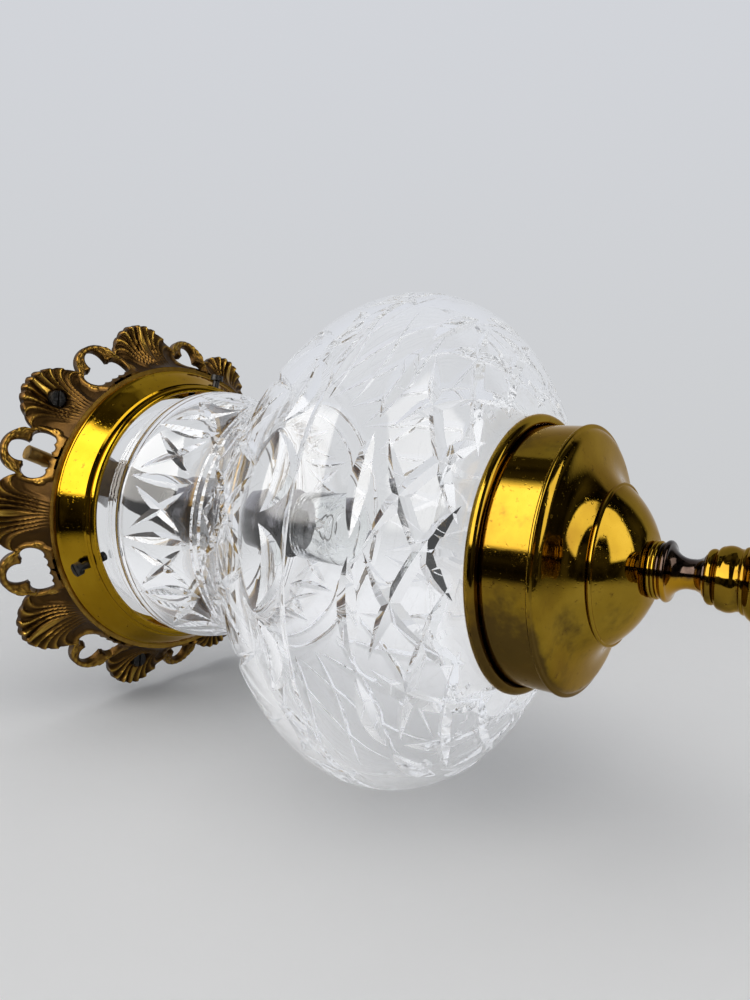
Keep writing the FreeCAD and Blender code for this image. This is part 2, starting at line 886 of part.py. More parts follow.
def earth_terminal():
    """Brass pillar terminal that also is the nut of one strap screw."""
    level = terminal_axis_level()
    start = strap_screw_place - terminal_inner_overlap
    post = Part.makeCylinder(terminal_post_radius, terminal_post_height + terminal_body_radius,
                             Vector(strap_screw_place, 0, strap_top), UP)
    body = Part.makeCylinder(terminal_body_radius, terminal_body_length,
                             Vector(start, 0, level), Vector(1, 0, 0))
    hole = Part.makeCylinder(strap_screw_radius, nut_height,
                             Vector(strap_screw_place, 0, strap_top), UP)
    wire_place = start + terminal_body_length * wire_place_share
    wire = Part.makeCylinder(terminal_wire_hole, 2 * terminal_body_radius,
                             Vector(wire_place, -terminal_body_radius, level), Vector(0, 1, 0))
    tapped = Part.makeCylinder(earth_screw_radius, terminal_body_radius,
                               Vector(wire_place, 0, level), UP)
    return on_strap(post.fuse(body).cut([hole, wire, tapped]).removeSplitter())


def earth_screw():
    start = strap_screw_place - terminal_inner_overlap
    wire_place = start + terminal_body_length * wire_place_share
    top = terminal_axis_level() + terminal_body_radius
    screw = slotted_screw(earth_head_radius, earth_head_height, earth_screw_radius,
                          terminal_body_radius - terminal_wire_hole)
    return on_strap(aimed(screw, Vector(wire_place, 0, top), UP))


# Nipple
def threaded_nipple():
    return tube(nipple_radius, nipple_bore, -nipple_bottom_drop, -nipple_top_drop)


def nipple_washers():
    thick = nipple_washer_thickness
    return [tube(nipple_washer_radius, nipple_radius + hole_gap, strap_top, strap_top + thick),
            tube(nipple_washer_radius, nipple_radius + hole_gap, strap_bottom - thick, strap_bottom)]


def nipple_nuts():
    upper = strap_top + nipple_washer_thickness
    lower = strap_bottom - nipple_washer_thickness
    return [hexagon(nipple_nut_flats, upper, upper + nipple_nut_height, nipple_radius),
            hexagon(nipple_nut_flats, lower - nipple_nut_height, lower, nipple_radius)]


# Terminal block
def block_middle():
    return block_place + block_length / 2


def way_places():
    return [side * way_spacing / 2 for side in (-1, 1)]


def terminal_block():
    corner = Vector(-block_place - block_length, -block_width / 2, strap_top)
    block = Part.makeBox(block_length, block_width, block_height, corner)
    level = strap_top + way_height
    cutters = []
    for across in way_places():
        start = Vector(-block_place - block_length, across, level)
        cutters.append(Part.makeCylinder(insert_radius, block_length, start, Vector(1, 0, 0)))
        for along in way_screw_shares:
            base = Vector(-block_place - along * block_length, across, level)
            cutters.append(Part.makeCylinder(way_screw_hole, block_height, base, UP))
    middle = Vector(-block_middle(), 0, strap_top)
    cutters.append(Part.makeCylinder(block_screw_radius + hole_gap, block_height, middle, UP))
    return on_strap(block.cut(cutters))


def terminal_inserts():
    """Brass tubes that join the leads to the supply."""
    inserts = []
    level = strap_top + way_height
    inside = block_length - 2 * block_wall
    for across in way_places():
        start = Vector(-block_place - block_length + block_wall, across, level)
        body = Part.makeCylinder(insert_radius, inside, start, Vector(1, 0, 0))
        bore = Part.makeCylinder(insert_bore, inside, start, Vector(1, 0, 0))
        holes = [Part.makeCylinder(way_screw_radius, insert_radius,
                                   Vector(-block_place - along * block_length, across, level), UP)
                 for along in way_screw_shares]
        inserts.append(on_strap(body.cut([bore] + holes)))
    return inserts


def terminal_screws():
    level = strap_top + way_height + insert_bore
    length = block_height - way_height - insert_bore - screw_slot_depth / 2
    screws = []
    for across in way_places():
        for along in way_screw_shares:
            base = Vector(-block_place - along * block_length, across, level)
            body = Part.makeCylinder(way_screw_radius, length, base, UP)
            slot = Part.makeBox(2 * way_screw_radius, screw_slot_width / 2, screw_slot_depth,
                                base + Vector(-way_screw_radius, -screw_slot_width / 4,
                                              length - screw_slot_depth))
            screws.append(on_strap(body.cut(slot)))
    return screws


def block_screw():
    seat = Vector(-block_middle(), 0, strap_top + block_height)
    screw = slotted_screw(block_screw_head, block_wall, block_screw_radius,
                          block_height + strap_thickness)
    screw = screw.fuse(Part.makeCylinder(block_screw_radius, block_wall, CENTRE, UP))
    return on_strap(aimed(screw.removeSplitter(), seat, UP))


def lead(side):
    """Insulated lead from the block, over the nipple's edge and down into the lampholder."""
    level = strap_top + way_height
    start = Vector(-block_place, side * way_spacing / 2, level)
    target = Vector(0, side * lead_offset, level)
    along = target - start
    along.normalize()
    corner = target
    bend_start = corner - along * lead_bend
    bend_end = corner + DOWN * lead_bend
    centre = bend_start + DOWN * lead_bend
    middle = centre + (along + UP) * (lead_bend * DIAGONAL)
    end = Vector(target.x, target.y, -core_top_drop)
    path = Part.Wire([
        Part.LineSegment(start, bend_start).toShape(),
        Part.Arc(bend_start, middle, bend_end).toShape(),
        Part.LineSegment(bend_end, end).toShape(),
    ])
    section = Part.Wire(Part.makeCircle(lead_radius, start, along))
    return on_strap(path.makePipeShell([section], True, False))


# Lampholder
def holder_dome():
    """Domed top half of the lampholder, screwed on the nipple."""
    sheet = holder_sheet
    dome = holder_radius - holder_neck_radius
    rise = holder_shell_drop - holder_dome_drop
    bend = DIAGONAL
    return spun(
        (nipple_radius, -holder_neck_drop),
        (holder_neck_radius, -holder_neck_drop),
        (holder_neck_radius, -holder_dome_drop),
        ((holder_neck_radius + dome * bend, -holder_shell_drop + rise * bend),
         (holder_radius, -holder_shell_drop)),
        (holder_radius, -holder_joint_drop),
        (holder_radius - sheet, -holder_joint_drop),
        (holder_radius - sheet, -holder_shell_drop),
        ((holder_neck_radius - sheet + dome * bend, -holder_shell_drop + (rise - sheet) * bend),
         (holder_neck_radius, -holder_dome_drop - sheet)),
        (nipple_radius, -holder_dome_drop - sheet),
    )


def holder_skirt():
    """Nickel barrel of the lampholder."""
    low = -holder_end_drop + holder_ring_height
    return tube(holder_radius, holder_radius - holder_sheet, low, -holder_joint_drop)


def holder_ring():
    """Rolled ring that closes the barrel's end."""
    low = -holder_end_drop
    high = low + holder_ring_height
    proud = holder_radius + holder_ring_proud
    return spun(
        (lamp_thread_radius + 2 * lamp_shell_sheet, low),
        (proud - holder_ring_proud, low),
        ((proud, (low + high) / 2), (proud - holder_ring_proud, high)),
        (lamp_thread_radius + 2 * lamp_shell_sheet, high),
    )


def holder_core():
    """Ceramic body with a cavity for the bulb's base and two ways for the leads."""
    radius = holder_radius - holder_sheet
    low = -holder_end_drop + holder_ring_height
    body = disc(radius, low, -core_top_drop)
    cavity = disc(lamp_thread_radius + lamp_shell_sheet, low, tab_level)
    ways = [on_strap(Part.makeCylinder(core_wire_hole, tab_level_depth(),
                                       Vector(0, side * holder_terminal_place, tab_level), UP))
            for side in (-1, 1)]
    return body.cut([cavity] + ways)


def tab_level_depth():
    return -core_top_drop - tab_level


def lamp_thread_shell():
    low = -holder_end_drop + holder_ring_height
    return tube(lamp_thread_radius + lamp_shell_sheet, lamp_thread_radius, low, tab_level - tab_rise)


def centre_tab():
    """Springy brass tab that meets the bulb's tip."""
    corner = Vector(-tab_length / 2, -tab_width / 2, tab_level - tab_thickness)
    foot = Part.makeBox(tab_length, tab_width, tab_thickness, corner)
    stand = Part.makeCylinder(tab_width / 2, tab_rise - tab_thickness,
                              Vector(0, 0, tab_level - tab_rise), UP)
    return on_strap(foot.fuse(stand).removeSplitter())


def holder_terminals():
    """Two screws that carry the leads down to the tab and the thread shell."""
    screws = []
    for side in (-1, 1):
        start = Vector(0, side * holder_terminal_place, -core_top_drop - holder_terminal_length)
        shank = Part.makeCylinder(core_wire_hole, holder_terminal_length, start, UP)
        head = Part.makeCylinder(holder_terminal_radius + lead_radius, lead_radius,
                                 Vector(0, side * holder_terminal_place, -core_top_drop), UP)
        screws.append(on_strap(shank.fuse(head).removeSplitter()))
    return screws


# Bulb
def bulb_base_top():
    return bulb_tip_level - bulb_tip_height - seat_gap - bulb_insulator_height


def bulb_base_low():
    return bulb_base_top() - bulb_base_length


def bulb_tip():
    """Rounded solder contact at the bulb's end."""
    low = bulb_tip_level - bulb_tip_height
    half = bulb_tip_height / 2
    return spun(
        (0, low), (bulb_tip_radius, low), (bulb_tip_radius, low + half),
        (bulb_tip_radius - half, bulb_tip_level), (0, bulb_tip_level),
    )


def bulb_insulator():
    low = bulb_base_top()
    return spun(
        (0, low), (bulb_base_radius - 2 * bulb_base_sheet, low),
        (bulb_tip_radius, low + bulb_insulator_height), (0, low + bulb_insulator_height),
    )


def bulb_base():
    """Screw cap of the bulb, open below where the glass neck is cemented in."""
    high = bulb_base_top()
    low = bulb_base_low()
    inner = bulb_base_radius - bulb_base_sheet
    cup = disc(bulb_base_radius, low, high)
    return cup.cut(disc(inner, low, high - bulb_base_sheet))


def bulb_envelope():
    """Hollow clear tube with a flat end and a rounded corner."""
    top = bulb_base_low() + bulb_base_length / 2
    neck = bulb_base_radius - bulb_base_sheet
    glass = bulb_glass
    shoulder = bulb_base_low()
    body_top = shoulder - bulb_shoulder_length
    end = -bulb_end_drop
    corner = bulb_corner * (1 - DIAGONAL)
    inner_corner = (bulb_corner - glass) * (1 - DIAGONAL)
    waist = (neck + bulb_radius) / 2
    level = (shoulder + body_top) / 2
    inner_end = end + glass
    return spun(
        (0, top), (neck, top), (neck, shoulder),
        ((waist + glass, level + glass), (bulb_radius, body_top)),
        (bulb_radius, end + bulb_corner),
        ((bulb_radius - corner, end + corner), (bulb_radius - bulb_corner, end)),
        (0, end), (0, inner_end),
        (bulb_radius - bulb_corner, inner_end),
        ((bulb_radius - glass - inner_corner, inner_end + inner_corner),
         (bulb_radius - glass, end + bulb_corner)),
        (bulb_radius - glass, body_top),
        ((waist, level), (bulb_neck_radius - glass, shoulder)),
        (bulb_neck_radius - glass, top - glass), (0, top - glass),
    )


def stem_top():
    return bulb_base_low() + bulb_base_length / 2 - bulb_glass


def bulb_stem():
    """Glass stem that carries the filament's supports."""
    return disc(stem_radius, stem_top() - stem_length, stem_top())


def filament_level():
    return stem_top() - stem_length - filament_lead


def filament_supports():
    """Two wires from the stem's end out to the filament."""
    wires = []
    for side in (-1, 1):
        start = Vector(side * stem_radius / 2, 0, stem_top() - stem_length - support_radius)
        end = Vector(side * filament_radius, 0, filament_level() + filament_wire)
        wires.append(rod_between(start, end, support_radius))
    return wires


def filament():
    """Open hoop of wound wire, nearly a full turn between its two supports."""
    centre = Vector(0, 0, filament_level())
    hoop = Part.makeTorus(filament_radius, filament_wire, centre, UP)
    gap = Part.makeBox(2 * filament_radius, filament_radius / 2, 4 * filament_wire,
                       centre + Vector(-filament_radius / 4, -1.25 * filament_radius,
                                       -2 * filament_wire))
    return hoop.cut(gap)


# Ceiling end
save("leaf_gallery", leaf_gallery())
save("collar_band", collar_band())
save("ceiling_screws", *ceiling_screws())
save("cross_strap", cross_strap())
save("strap_screws", *strap_screws())
save("strap_nut", strap_nut())
save("earth_terminal", earth_terminal())
save("earth_screw", earth_screw())
save("threaded_nipple", threaded_nipple())
save("nipple_washers", *nipple_washers())
save("nipple_nuts", *nipple_nuts())
save("terminal_block", terminal_block())
save("terminal_inserts", *terminal_inserts())
save("terminal_screws", *terminal_screws())
save("block_screw", block_screw())
save("live_lead", lead(1))
save("neutral_lead", lead(-1))

# Lampholder
save("holder_dome", holder_dome())
save("holder_skirt", holder_skirt())
save("holder_ring", holder_ring())
save("holder_core", holder_core())
save("lamp_thread_shell", lamp_thread_shell())
save("centre_tab", centre_tab())
save("holder_terminals", *holder_terminals())

# Retaining screws
for number, angle in enumerate(grip_angles(), start=1):
    save("glass_pad_%d" % number, glass_pad(angle))
    save("retaining_screw_%d" % number, retaining_screw(angle))

# Globe
save("cut_glass_globe", cut_glass_globe())
save("inner_rubber_washer", stacked_washer(rod_washer_radius, rubber_washer_thickness, 0, 1))
save("outer_rubber_washer", stacked_washer(rod_washer_radius, rubber_washer_thickness, 0, -1))
save("inner_brass_washer", stacked_washer(rod_washer_radius, brass_washer_thickness,
                                          rubber_washer_thickness, 1))
save("outer_brass_washer", stacked_washer(rod_washer_radius, brass_washer_thickness,
                                          rubber_washer_thickness, -1))
save("inner_rod_nut", rod_nut(1))
save("outer_rod_nut", rod_nut(-1))
save("tie_rod", tie_rod())

# Cap and finial
save("cap_rim", cap_rim())
save("cap_dome", cap())
save("finial_washer", finial_washer())
save("finial_reel", finial_reel())
save("finial_barrel", finial_barrel())
save("finial_knob", finial_knob())

# Bulb
save("bulb_tip", bulb_tip())
save("bulb_insulator", bulb_insulator())
save("bulb_base", bulb_base())
save("bulb_envelope", bulb_envelope())
save("bulb_stem", bulb_stem())
save("filament_supports", *filament_supports())
save("filament", filament())
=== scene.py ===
"""Looks of a cut-glass ceiling lantern: cast brass leaves, a spun collar and cap, and a heavy cut globe.

Lengths are in millimetres until a mesh is made. Angles are in degrees round the vertical axis, from
the -Y side towards +X. Levels are measured up from the ceiling, so the lantern's are below zero.
"""

import json
import math

import bmesh
import bpy
from mathutils import Matrix, Vector


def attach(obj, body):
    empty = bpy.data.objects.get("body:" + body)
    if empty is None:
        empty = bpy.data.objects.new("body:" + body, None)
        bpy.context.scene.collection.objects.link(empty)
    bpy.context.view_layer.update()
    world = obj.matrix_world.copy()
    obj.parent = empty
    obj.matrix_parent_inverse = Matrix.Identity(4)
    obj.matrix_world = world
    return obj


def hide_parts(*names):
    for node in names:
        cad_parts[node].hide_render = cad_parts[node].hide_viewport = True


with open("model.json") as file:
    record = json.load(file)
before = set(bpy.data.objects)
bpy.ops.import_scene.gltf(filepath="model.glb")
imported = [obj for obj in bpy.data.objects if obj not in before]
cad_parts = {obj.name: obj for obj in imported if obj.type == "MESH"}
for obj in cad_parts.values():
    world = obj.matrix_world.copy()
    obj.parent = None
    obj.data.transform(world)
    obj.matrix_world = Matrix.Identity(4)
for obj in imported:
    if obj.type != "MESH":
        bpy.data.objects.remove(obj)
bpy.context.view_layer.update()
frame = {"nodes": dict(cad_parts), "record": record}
MM = 0.001
AXIS = Vector((0, 0, 1))

# Levels and radii that several pieces share
STRAP_LEVEL = -17.0
FOOT_LEVEL = -19.6
FLANGE_LEVEL = -21.2
LIP_LEVEL = -33.6
COLLAR_BACK, COLLAR_LIP = 61.8, 54.6
FLANGE_BORE = 50.0
RIM_LEVEL = -192.9
CAP_EDGE = -211.8
DOME_CENTRE = -201.98
DOME_RADIUS = 31.0
SPINDLE_BORE = 3.4
WASHER_TOP = -231.45
REEL_TOP = -233.75
BARREL_TOP = -246.55
KNOB_TOP = -268.05


# Shader maths
class Signal:
    """A value in a material, with the operators that shader maths needs."""

    def __init__(self, tree, socket):
        self.tree = tree
        self.socket = socket

    def node(self, kind, out=0, inputs=None, stops=None, **settings):
        """Another node: its settings first, then the values or links of its sockets."""
        made = self.tree.nodes.new("ShaderNode" + kind)
        for name, value in settings.items():
            setattr(made, name, value)
        if stops:
            ramp = made.color_ramp
            while len(ramp.elements) < len(stops):
                ramp.elements.new(1.0)
            for element, (place, colour) in zip(ramp.elements, stops):
                element.position = place
                element.color = (*colour, 1.0)
        for name, value in (inputs or {}).items():
            if isinstance(value, Signal):
                self.tree.links.new(value.socket, made.inputs[name])
            else:
                made.inputs[name].default_value = value
        return Signal(self.tree, made.outputs[out])

    def math(self, operation, *others):
        return self.node("Math", inputs=dict(enumerate((self, *others))), operation=operation)

    def __add__(self, other):
        return self.math("ADD", other)

    def __mul__(self, other):
        return self.math("MULTIPLY", other)

    def __sub__(self, other):
        return self.math("SUBTRACT", other)

    def __rsub__(self, other):
        return (self * -1.0) + other

    def limit(self, low, high):
        """0 at the low value and 1 at the high one, smooth between."""
        values = {"Value": self, "From Min": low, "From Max": high}
        return self.node("MapRange", inputs=values, interpolation_type="SMOOTHSTEP")

    def along(self, direction):
        """How far a place, or a way out of it, goes along a direction."""
        return self.node("VectorMath", out=1, inputs={0: self, 1: tuple(direction)}, operation="DOT_PRODUCT")

    def scaled(self, size):
        """A colour made brighter or darker."""
        return self.node("VectorMath", inputs={0: self, "Scale": size}, operation="SCALE")

    def noise(self, scale, detail=3.0, rough=0.55, stretch=(1, 1, 1)):
        """Cloudy value from 0 to 1, whose scale is the number of clouds in a metre."""
        place = self.node("Mapping", inputs={"Vector": self, "Scale": stretch})
        values = {"Vector": place, "Scale": scale, "Detail": detail, "Roughness": rough}
        return self.node("TexNoise", inputs=values)

    def ramp(self, *stops):
        """Colour that runs through the (value, colour) stops."""
        return self.node("ValToRGB", inputs={"Fac": self}, stops=stops)

    def blend(self, low, high):
        """Colour between two colours."""
        values = {0: self, 6: (*low, 1.0) if isinstance(low, tuple) else low,
                  7: (*high, 1.0) if isinstance(high, tuple) else high}
        return self.node("Mix", out=2, inputs=values, data_type="RGBA")


def object_place(tree):
    return Signal(tree, tree.nodes.new("ShaderNodeTexCoord").outputs["Object"])


def finish(name, fixed, build=None):
    """Material with fixed shader values, and a function that links what varies."""
    made = bpy.data.materials.new(name)
    made.use_nodes = True
    tree = made.node_tree
    shader = tree.nodes["Principled BSDF"]
    for socket, value in fixed.items():
        shader.inputs[socket].default_value = value
    if build:
        for socket, value in build(object_place(tree)).items():
            tree.links.new(value.socket, shader.inputs[socket])
    return made


def bumped(height, strength, distance):
    return height.node("Bump", inputs={"Height": height, "Strength": strength, "Distance": distance})


# Directions towards the ceiling, and up and down as the lantern lies on its side
CEILINGWARDS = (0, 0, 1)
LYING_UP = (1, 0, 0)
LYING_DOWN = (-1, 0, 0)


def polished_brass(place):
    """Spun brass: golden on the collar, olive on the cap, with cloudy tarnish on the cap, and painted shade
    darkening the cap's lower side and its wall.
    """
    cloud = place.noise(38.0, 4.0)
    spots = place.noise(420.0, 3.0, 0.6).limit(0.62, 0.74)
    smear = place.noise(95.0, 5.0, 0.7, (1, 1, 0.35))
    pits = place.noise(900.0, 2.0).limit(0.6, 0.8)
    blots = place.noise(75.0, 1.0).limit(0.66, 0.72)
    olive = cloud.ramp((0.32, (0.17, 0.095, 0.010)), (0.52, (0.25, 0.155, 0.014)), (0.7, (0.31, 0.20, 0.022)))
    clean = cloud.limit(0.3, 0.7).blend((0.27, 0.150, 0.006), (0.36, 0.215, 0.012))
    gold = blots.blend(clean, (0.11, 0.05, 0.004))
    level = place.along(CEILINGWARDS)
    cap_end, wall = level.limit(-0.10, -0.19), level.limit(-0.2135, -0.2115)
    # Painted shade: the cloudy tarnish is darkened further on the cap's lower side, as the lantern lies, and
    # on its wall. This stands for the dim table reflected there.
    clouds_and_shade = place.noise(34.0, 5.0, 0.65) * 1.5 + place.along(LYING_DOWN) * 6.0 + wall * 0.34
    tarnish_and_shade = clouds_and_shade.limit(0.95, 1.22) * cap_end * 0.88
    tarnished_and_shaded = tarnish_and_shade.blend(cap_end.blend(gold, olive), (0.062, 0.038, 0.012))
    return {"Base Color": (spots * 0.55).blend(tarnished_and_shaded, (0.09, 0.045, 0.012)),
            "Roughness": smear.limit(0.35, 0.75) * 0.08 + 0.04 + spots * 0.25 + tarnish_and_shade * 0.05,
            "Normal": bumped(smear * 0.4 - pits * 0.5, 0.12, 0.0004)}


def antique_brass(place):
    """Cast brass, dark in its hollows and rubbed bright on its ribs."""
    relief = place.node("Attribute", out=2, attribute_name="relief")
    mottle = place.noise(160.0, 5.0, 0.65)
    grain = place.noise(700.0, 4.0)
    worn = (relief + (mottle - 0.5) * 0.5).limit(0.05, 1.05)
    colour = worn.ramp((0.0, (0.060, 0.031, 0.009)), (0.40, (0.19, 0.100, 0.020)),
                       (0.75, (0.42, 0.255, 0.042)), (1.0, (0.85, 0.60, 0.15)))
    return {"Base Color": colour, "Roughness": 0.46 - worn * 0.20 + (grain - 0.5) * 0.2,
            "Normal": bumped(grain + mottle, 0.25, 0.0004)}


def aged_brass(place):
    """Aged brass, darker near the axis at the ceiling end."""
    mottle = place.noise(220.0, 5.0, 0.65)
    clean = mottle.ramp((0.3, (0.20, 0.115, 0.03)), (0.7, (0.46, 0.29, 0.085)))
    flat = place.node("Mapping", inputs={"Vector": place, "Scale": (1, 1, 0)})
    from_axis = place.node("VectorMath", out=1, inputs={0: flat}, operation="LENGTH")
    near_axis_at_top = from_axis.limit(0.056, 0.030) * place.along(CEILINGWARDS).limit(-0.10, -0.06)
    return {"Base Color": near_axis_at_top.blend(clean, (0.055, 0.042, 0.034)), "Roughness": mottle * 0.3 + 0.2,
            "Normal": bumped(mottle, 0.12, 0.0003)}


def dark_bronze(place):
    """Darkened bronze, painted gold on its lower side, as the lantern lies, to stand for the reflection of
    the lit table.
    """
    mottle = place.noise(180.0, 5.0, 0.6)
    # Painted reflection: rubbed is the share of the lower side that is painted gold for the lit table
    # reflected there; the mottle only breaks its edge.
    rubbed = (place.along(LYING_DOWN) * 160.0 + (mottle - 0.5) * 1.2).limit(-0.05, 0.35)
    dark = mottle.ramp((0.35, (0.022, 0.015, 0.013)), (0.7, (0.085, 0.058, 0.045)))
    return {"Base Color": rubbed.blend(dark, (0.42, 0.22, 0.012)), "Roughness": mottle * 0.12 + 0.06}


def blackened(place):
    mottle = place.noise(500.0, 4.0)
    colour = mottle.ramp((0.4, (0.012, 0.012, 0.012)), (0.75, (0.05, 0.045, 0.04)))
    return {"Base Color": colour, "Roughness": mottle * 0.3 + 0.25, "Normal": bumped(mottle, 0.2, 0.0003)}


def nickel(place):
    """Nickel plate, painted bright on its upper side and painted nearly black in shade on its lower one, as
    the lantern lies.
    """
    cloud = place.noise(70.0, 4.0)
    lines = place.noise(30.0, 2.0, 0.5, (1, 1, 40))
    # Painted light and shade: clean is the share of the upper side that is painted bright, and below it the
    # plate is painted in near-black shade.
    clean = (place.along(LYING_UP) * 30.0 + (cloud - 0.5) * 1.4).limit(-0.12, 0.12)
    nickel_in_painted_shade = cloud.ramp((0.35, (0.022, 0.021, 0.022)), (0.7, (0.075, 0.070, 0.066)))
    bright = cloud.ramp((0.35, (0.22, 0.21, 0.235)), (0.7, (0.36, 0.35, 0.37)))
    return {"Base Color": clean.blend(nickel_in_painted_shade, bright), "Roughness": cloud * 0.18 + 0.12 + lines * 0.08}


def speckled(low, high, rough, scale=300.0):
    """Plain surface whose tone and sheen vary a little."""
    def build(place):
        mottle = place.noise(scale, 4.0)
        return {"Base Color": mottle.limit(0.3, 0.7).blend(low, high), "Roughness": mottle * 0.15 + rough,
                "Normal": bumped(mottle, 0.1, 0.0002)}
    return build


def cut_glass(place):
    haze = place.noise(60.0, 4.0)
    return {"Roughness": haze.limit(0.62, 0.8) * 0.03, "Normal": bumped(place.noise(26.0, 2.0), 0.05, 0.002)}


def bulb_glass(place):
    return {"Roughness": place.noise(50.0).limit(0.4, 0.8) * 0.04}


METAL = {"Metallic": 1.0}
POLISHED = {"Metallic": 1.0, "Specular Tint": (0.92, 0.76, 0.56, 1.0)}
# The heavy glass carries a faint painted glow: a pale emission that brightens it.
HEAVY_GLASS = {"Transmission Weight": 1.0, "IOR": 1.53, "Base Color": (1.0, 1.0, 1.0, 1.0),
               "Emission Color": (0.94, 0.97, 1.0, 1.0), "Emission Strength": 0.008}
CLEAR_GLASS = {"Transmission Weight": 1.0, "IOR": 1.48, "Base Color": (0.98, 0.99, 0.985, 1.0)}
FINISHES = {
    "polished_brass": finish("polished_brass", POLISHED, polished_brass),
    "antique_brass": finish("antique_brass", METAL, antique_brass),
    "aged_brass": finish("aged_brass", METAL, aged_brass),
    "dark_bronze": finish("dark_bronze", METAL, dark_bronze),
    "black_steel": finish("black_steel", {"Metallic": 0.6}, blackened),
    "plated_steel": finish("plated_steel", METAL, speckled((0.45, 0.45, 0.44), (0.66, 0.66, 0.64), 0.2)),
    "nickel": finish("nickel", METAL, nickel),
    "ceramic": finish("ceramic", {"Coat Weight": 0.5},
                      speckled((0.78, 0.76, 0.70), (0.86, 0.85, 0.80), 0.15)),
    "white_plastic": finish("white_plastic", {}, speckled((0.74, 0.72, 0.66), (0.86, 0.85, 0.81), 0.3)),
    "brown_insulation": finish("brown_insulation", {}, speckled((0.15, 0.07, 0.03), (0.26, 0.13, 0.06), 0.3)),
    "blue_insulation": finish("blue_insulation", {}, speckled((0.05, 0.13, 0.36), (0.08, 0.20, 0.50), 0.3)),
    "black_insulator": finish("black_insulator", {},
                              speckled((0.015, 0.015, 0.015), (0.04, 0.04, 0.04), 0.1)),
    "cut_glass": finish("cut_glass", HEAVY_GLASS, cut_glass),
    "bulb_glass": finish("bulb_glass", CLEAR_GLASS, bulb_glass),
    "filament_wire": finish("filament_wire", METAL, speckled((0.2, 0.19, 0.18), (0.35, 0.33, 0.31), 0.3)),
    "solder": finish("solder", METAL, speckled((0.4, 0.4, 0.4), (0.65, 0.65, 0.64), 0.3)),
    "washer_rubber": finish("washer_rubber", {}, speckled((0.26, 0.25, 0.24), (0.36, 0.35, 0.33), 0.6)),
    "pad_rubber": finish("pad_rubber", {}, speckled((0.02, 0.02, 0.02), (0.05, 0.05, 0.05), 0.6)),
}

# The cut glass has a faint painted glow that brightens it, too weak to light anything else
FINISHES["cut_glass"].cycles.emission_sampling = "NONE"


# Mesh helpers
ARC_STEPS = 8


def spot(radius, angle, level):
    """Point at a radius and an angle from the -Y side, in metres."""
    turn = math.radians(angle)
    return Vector((radius * math.sin(turn), -radius * math.cos(turn), level)) * MM


def arc(start, through, end):
    """Points after the start of the arc that runs through one point to another."""
    (ax, ay), (bx, by), (cx, cy) = start, through, end
    double = 2 * (ax * (by - cy) + bx * (cy - ay) + cx * (ay - by))
    a2, b2, c2 = ax * ax + ay * ay, bx * bx + by * by, cx * cx + cy * cy
    ux = (a2 * (by - cy) + b2 * (cy - ay) + c2 * (ay - by)) / double
    uy = (a2 * (cx - bx) + b2 * (ax - cx) + c2 * (bx - ax)) / double
    radius = math.hypot(ax - ux, ay - uy)
    first = math.atan2(ay - uy, ax - ux)
    middle = (math.atan2(by - uy, bx - ux) - first) % (2 * math.pi)
    sweep = (math.atan2(cy - uy, cx - ux) - first) % (2 * math.pi)
    if middle > sweep:
        sweep -= 2 * math.pi
    angles = [first + sweep * step / ARC_STEPS for step in range(1, ARC_STEPS + 1)]
    return [(ux + radius * math.cos(a), uy + radius * math.sin(a)) for a in angles]


def outline(*steps):
    """Outline of (radius, level) points; a step of two points is an arc through the first."""
    points = [steps[0]]
    for step in steps[1:]:
        points += arc(points[-1], *step) if isinstance(step[0], tuple) else [step]
    return points


def smooth_line(points, count):
    """Points evenly along the natural cubic curve through the given ones."""
    marks = [0.0]
    for one, two in zip(points, points[1:]):
        marks.append(marks[-1] + math.dist(one, two))
    size = len(points)
    curves = []
    for axis in (0, 1):
        values = [point[axis] for point in points]
        upper, right = [0.0] * size, [0.0] * size
        for i in range(1, size - 1):
            before, after = marks[i] - marks[i - 1], marks[i + 1] - marks[i]
            slope = 6 * ((values[i + 1] - values[i]) / after - (values[i] - values[i - 1]) / before)
            pivot = 2 * (before + after) - before * upper[i - 1]
            upper[i] = after / pivot
            right[i] = (slope - before * right[i - 1]) / pivot
        bends = [0.0] * size
        for i in range(size - 2, 0, -1):
            bends[i] = right[i] - upper[i] * bends[i + 1]
        curves.append((values, bends))
    made = []
    for step in range(count + 1):
        place = marks[-1] * step / count
        i = min(max(k for k in range(size - 1) if marks[k] <= place + 1e-9), size - 2)
        width, past = marks[i + 1] - marks[i], place - marks[i]
        left = width - past
        point = []
        for values, bends in curves:
            point.append(bends[i] * left ** 3 / (6 * width) + bends[i + 1] * past ** 3 / (6 * width)
                         + (values[i] / width - bends[i] * width / 6) * left
                         + (values[i + 1] / width - bends[i + 1] * width / 6) * past)
        made.append(tuple(point))
    return made


def turned(points, steps):
    """Solid of revolution of a closed outline, which may start and end on the axis."""
    bm = bmesh.new()
    verts = [bm.verts.new((radius * MM, 0, level * MM)) for radius, level in points]
    pairs = list(zip(verts, verts[1:]))
    if points[0][0] or points[-1][0]:
        pairs.append((verts[-1], verts[0]))
    edges = [bm.edges.new(pair) for pair in pairs]
    bmesh.ops.spin(bm, geom=verts + edges, cent=(0, 0, 0), axis=AXIS, angle=2 * math.pi,
                   steps=steps, use_merge=True)
    bmesh.ops.remove_doubles(bm, verts=bm.verts, dist=1e-6)
    bmesh.ops.recalc_face_normals(bm, faces=bm.faces)
    return bm


def add_mesh(whole, part):
    """Join a part to a mesh in the making, with its layers."""
    sheet = bpy.data.meshes.new("part")
    part.to_mesh(sheet)
    part.free()
    whole.from_mesh(sheet)
    bpy.data.meshes.remove(sheet)


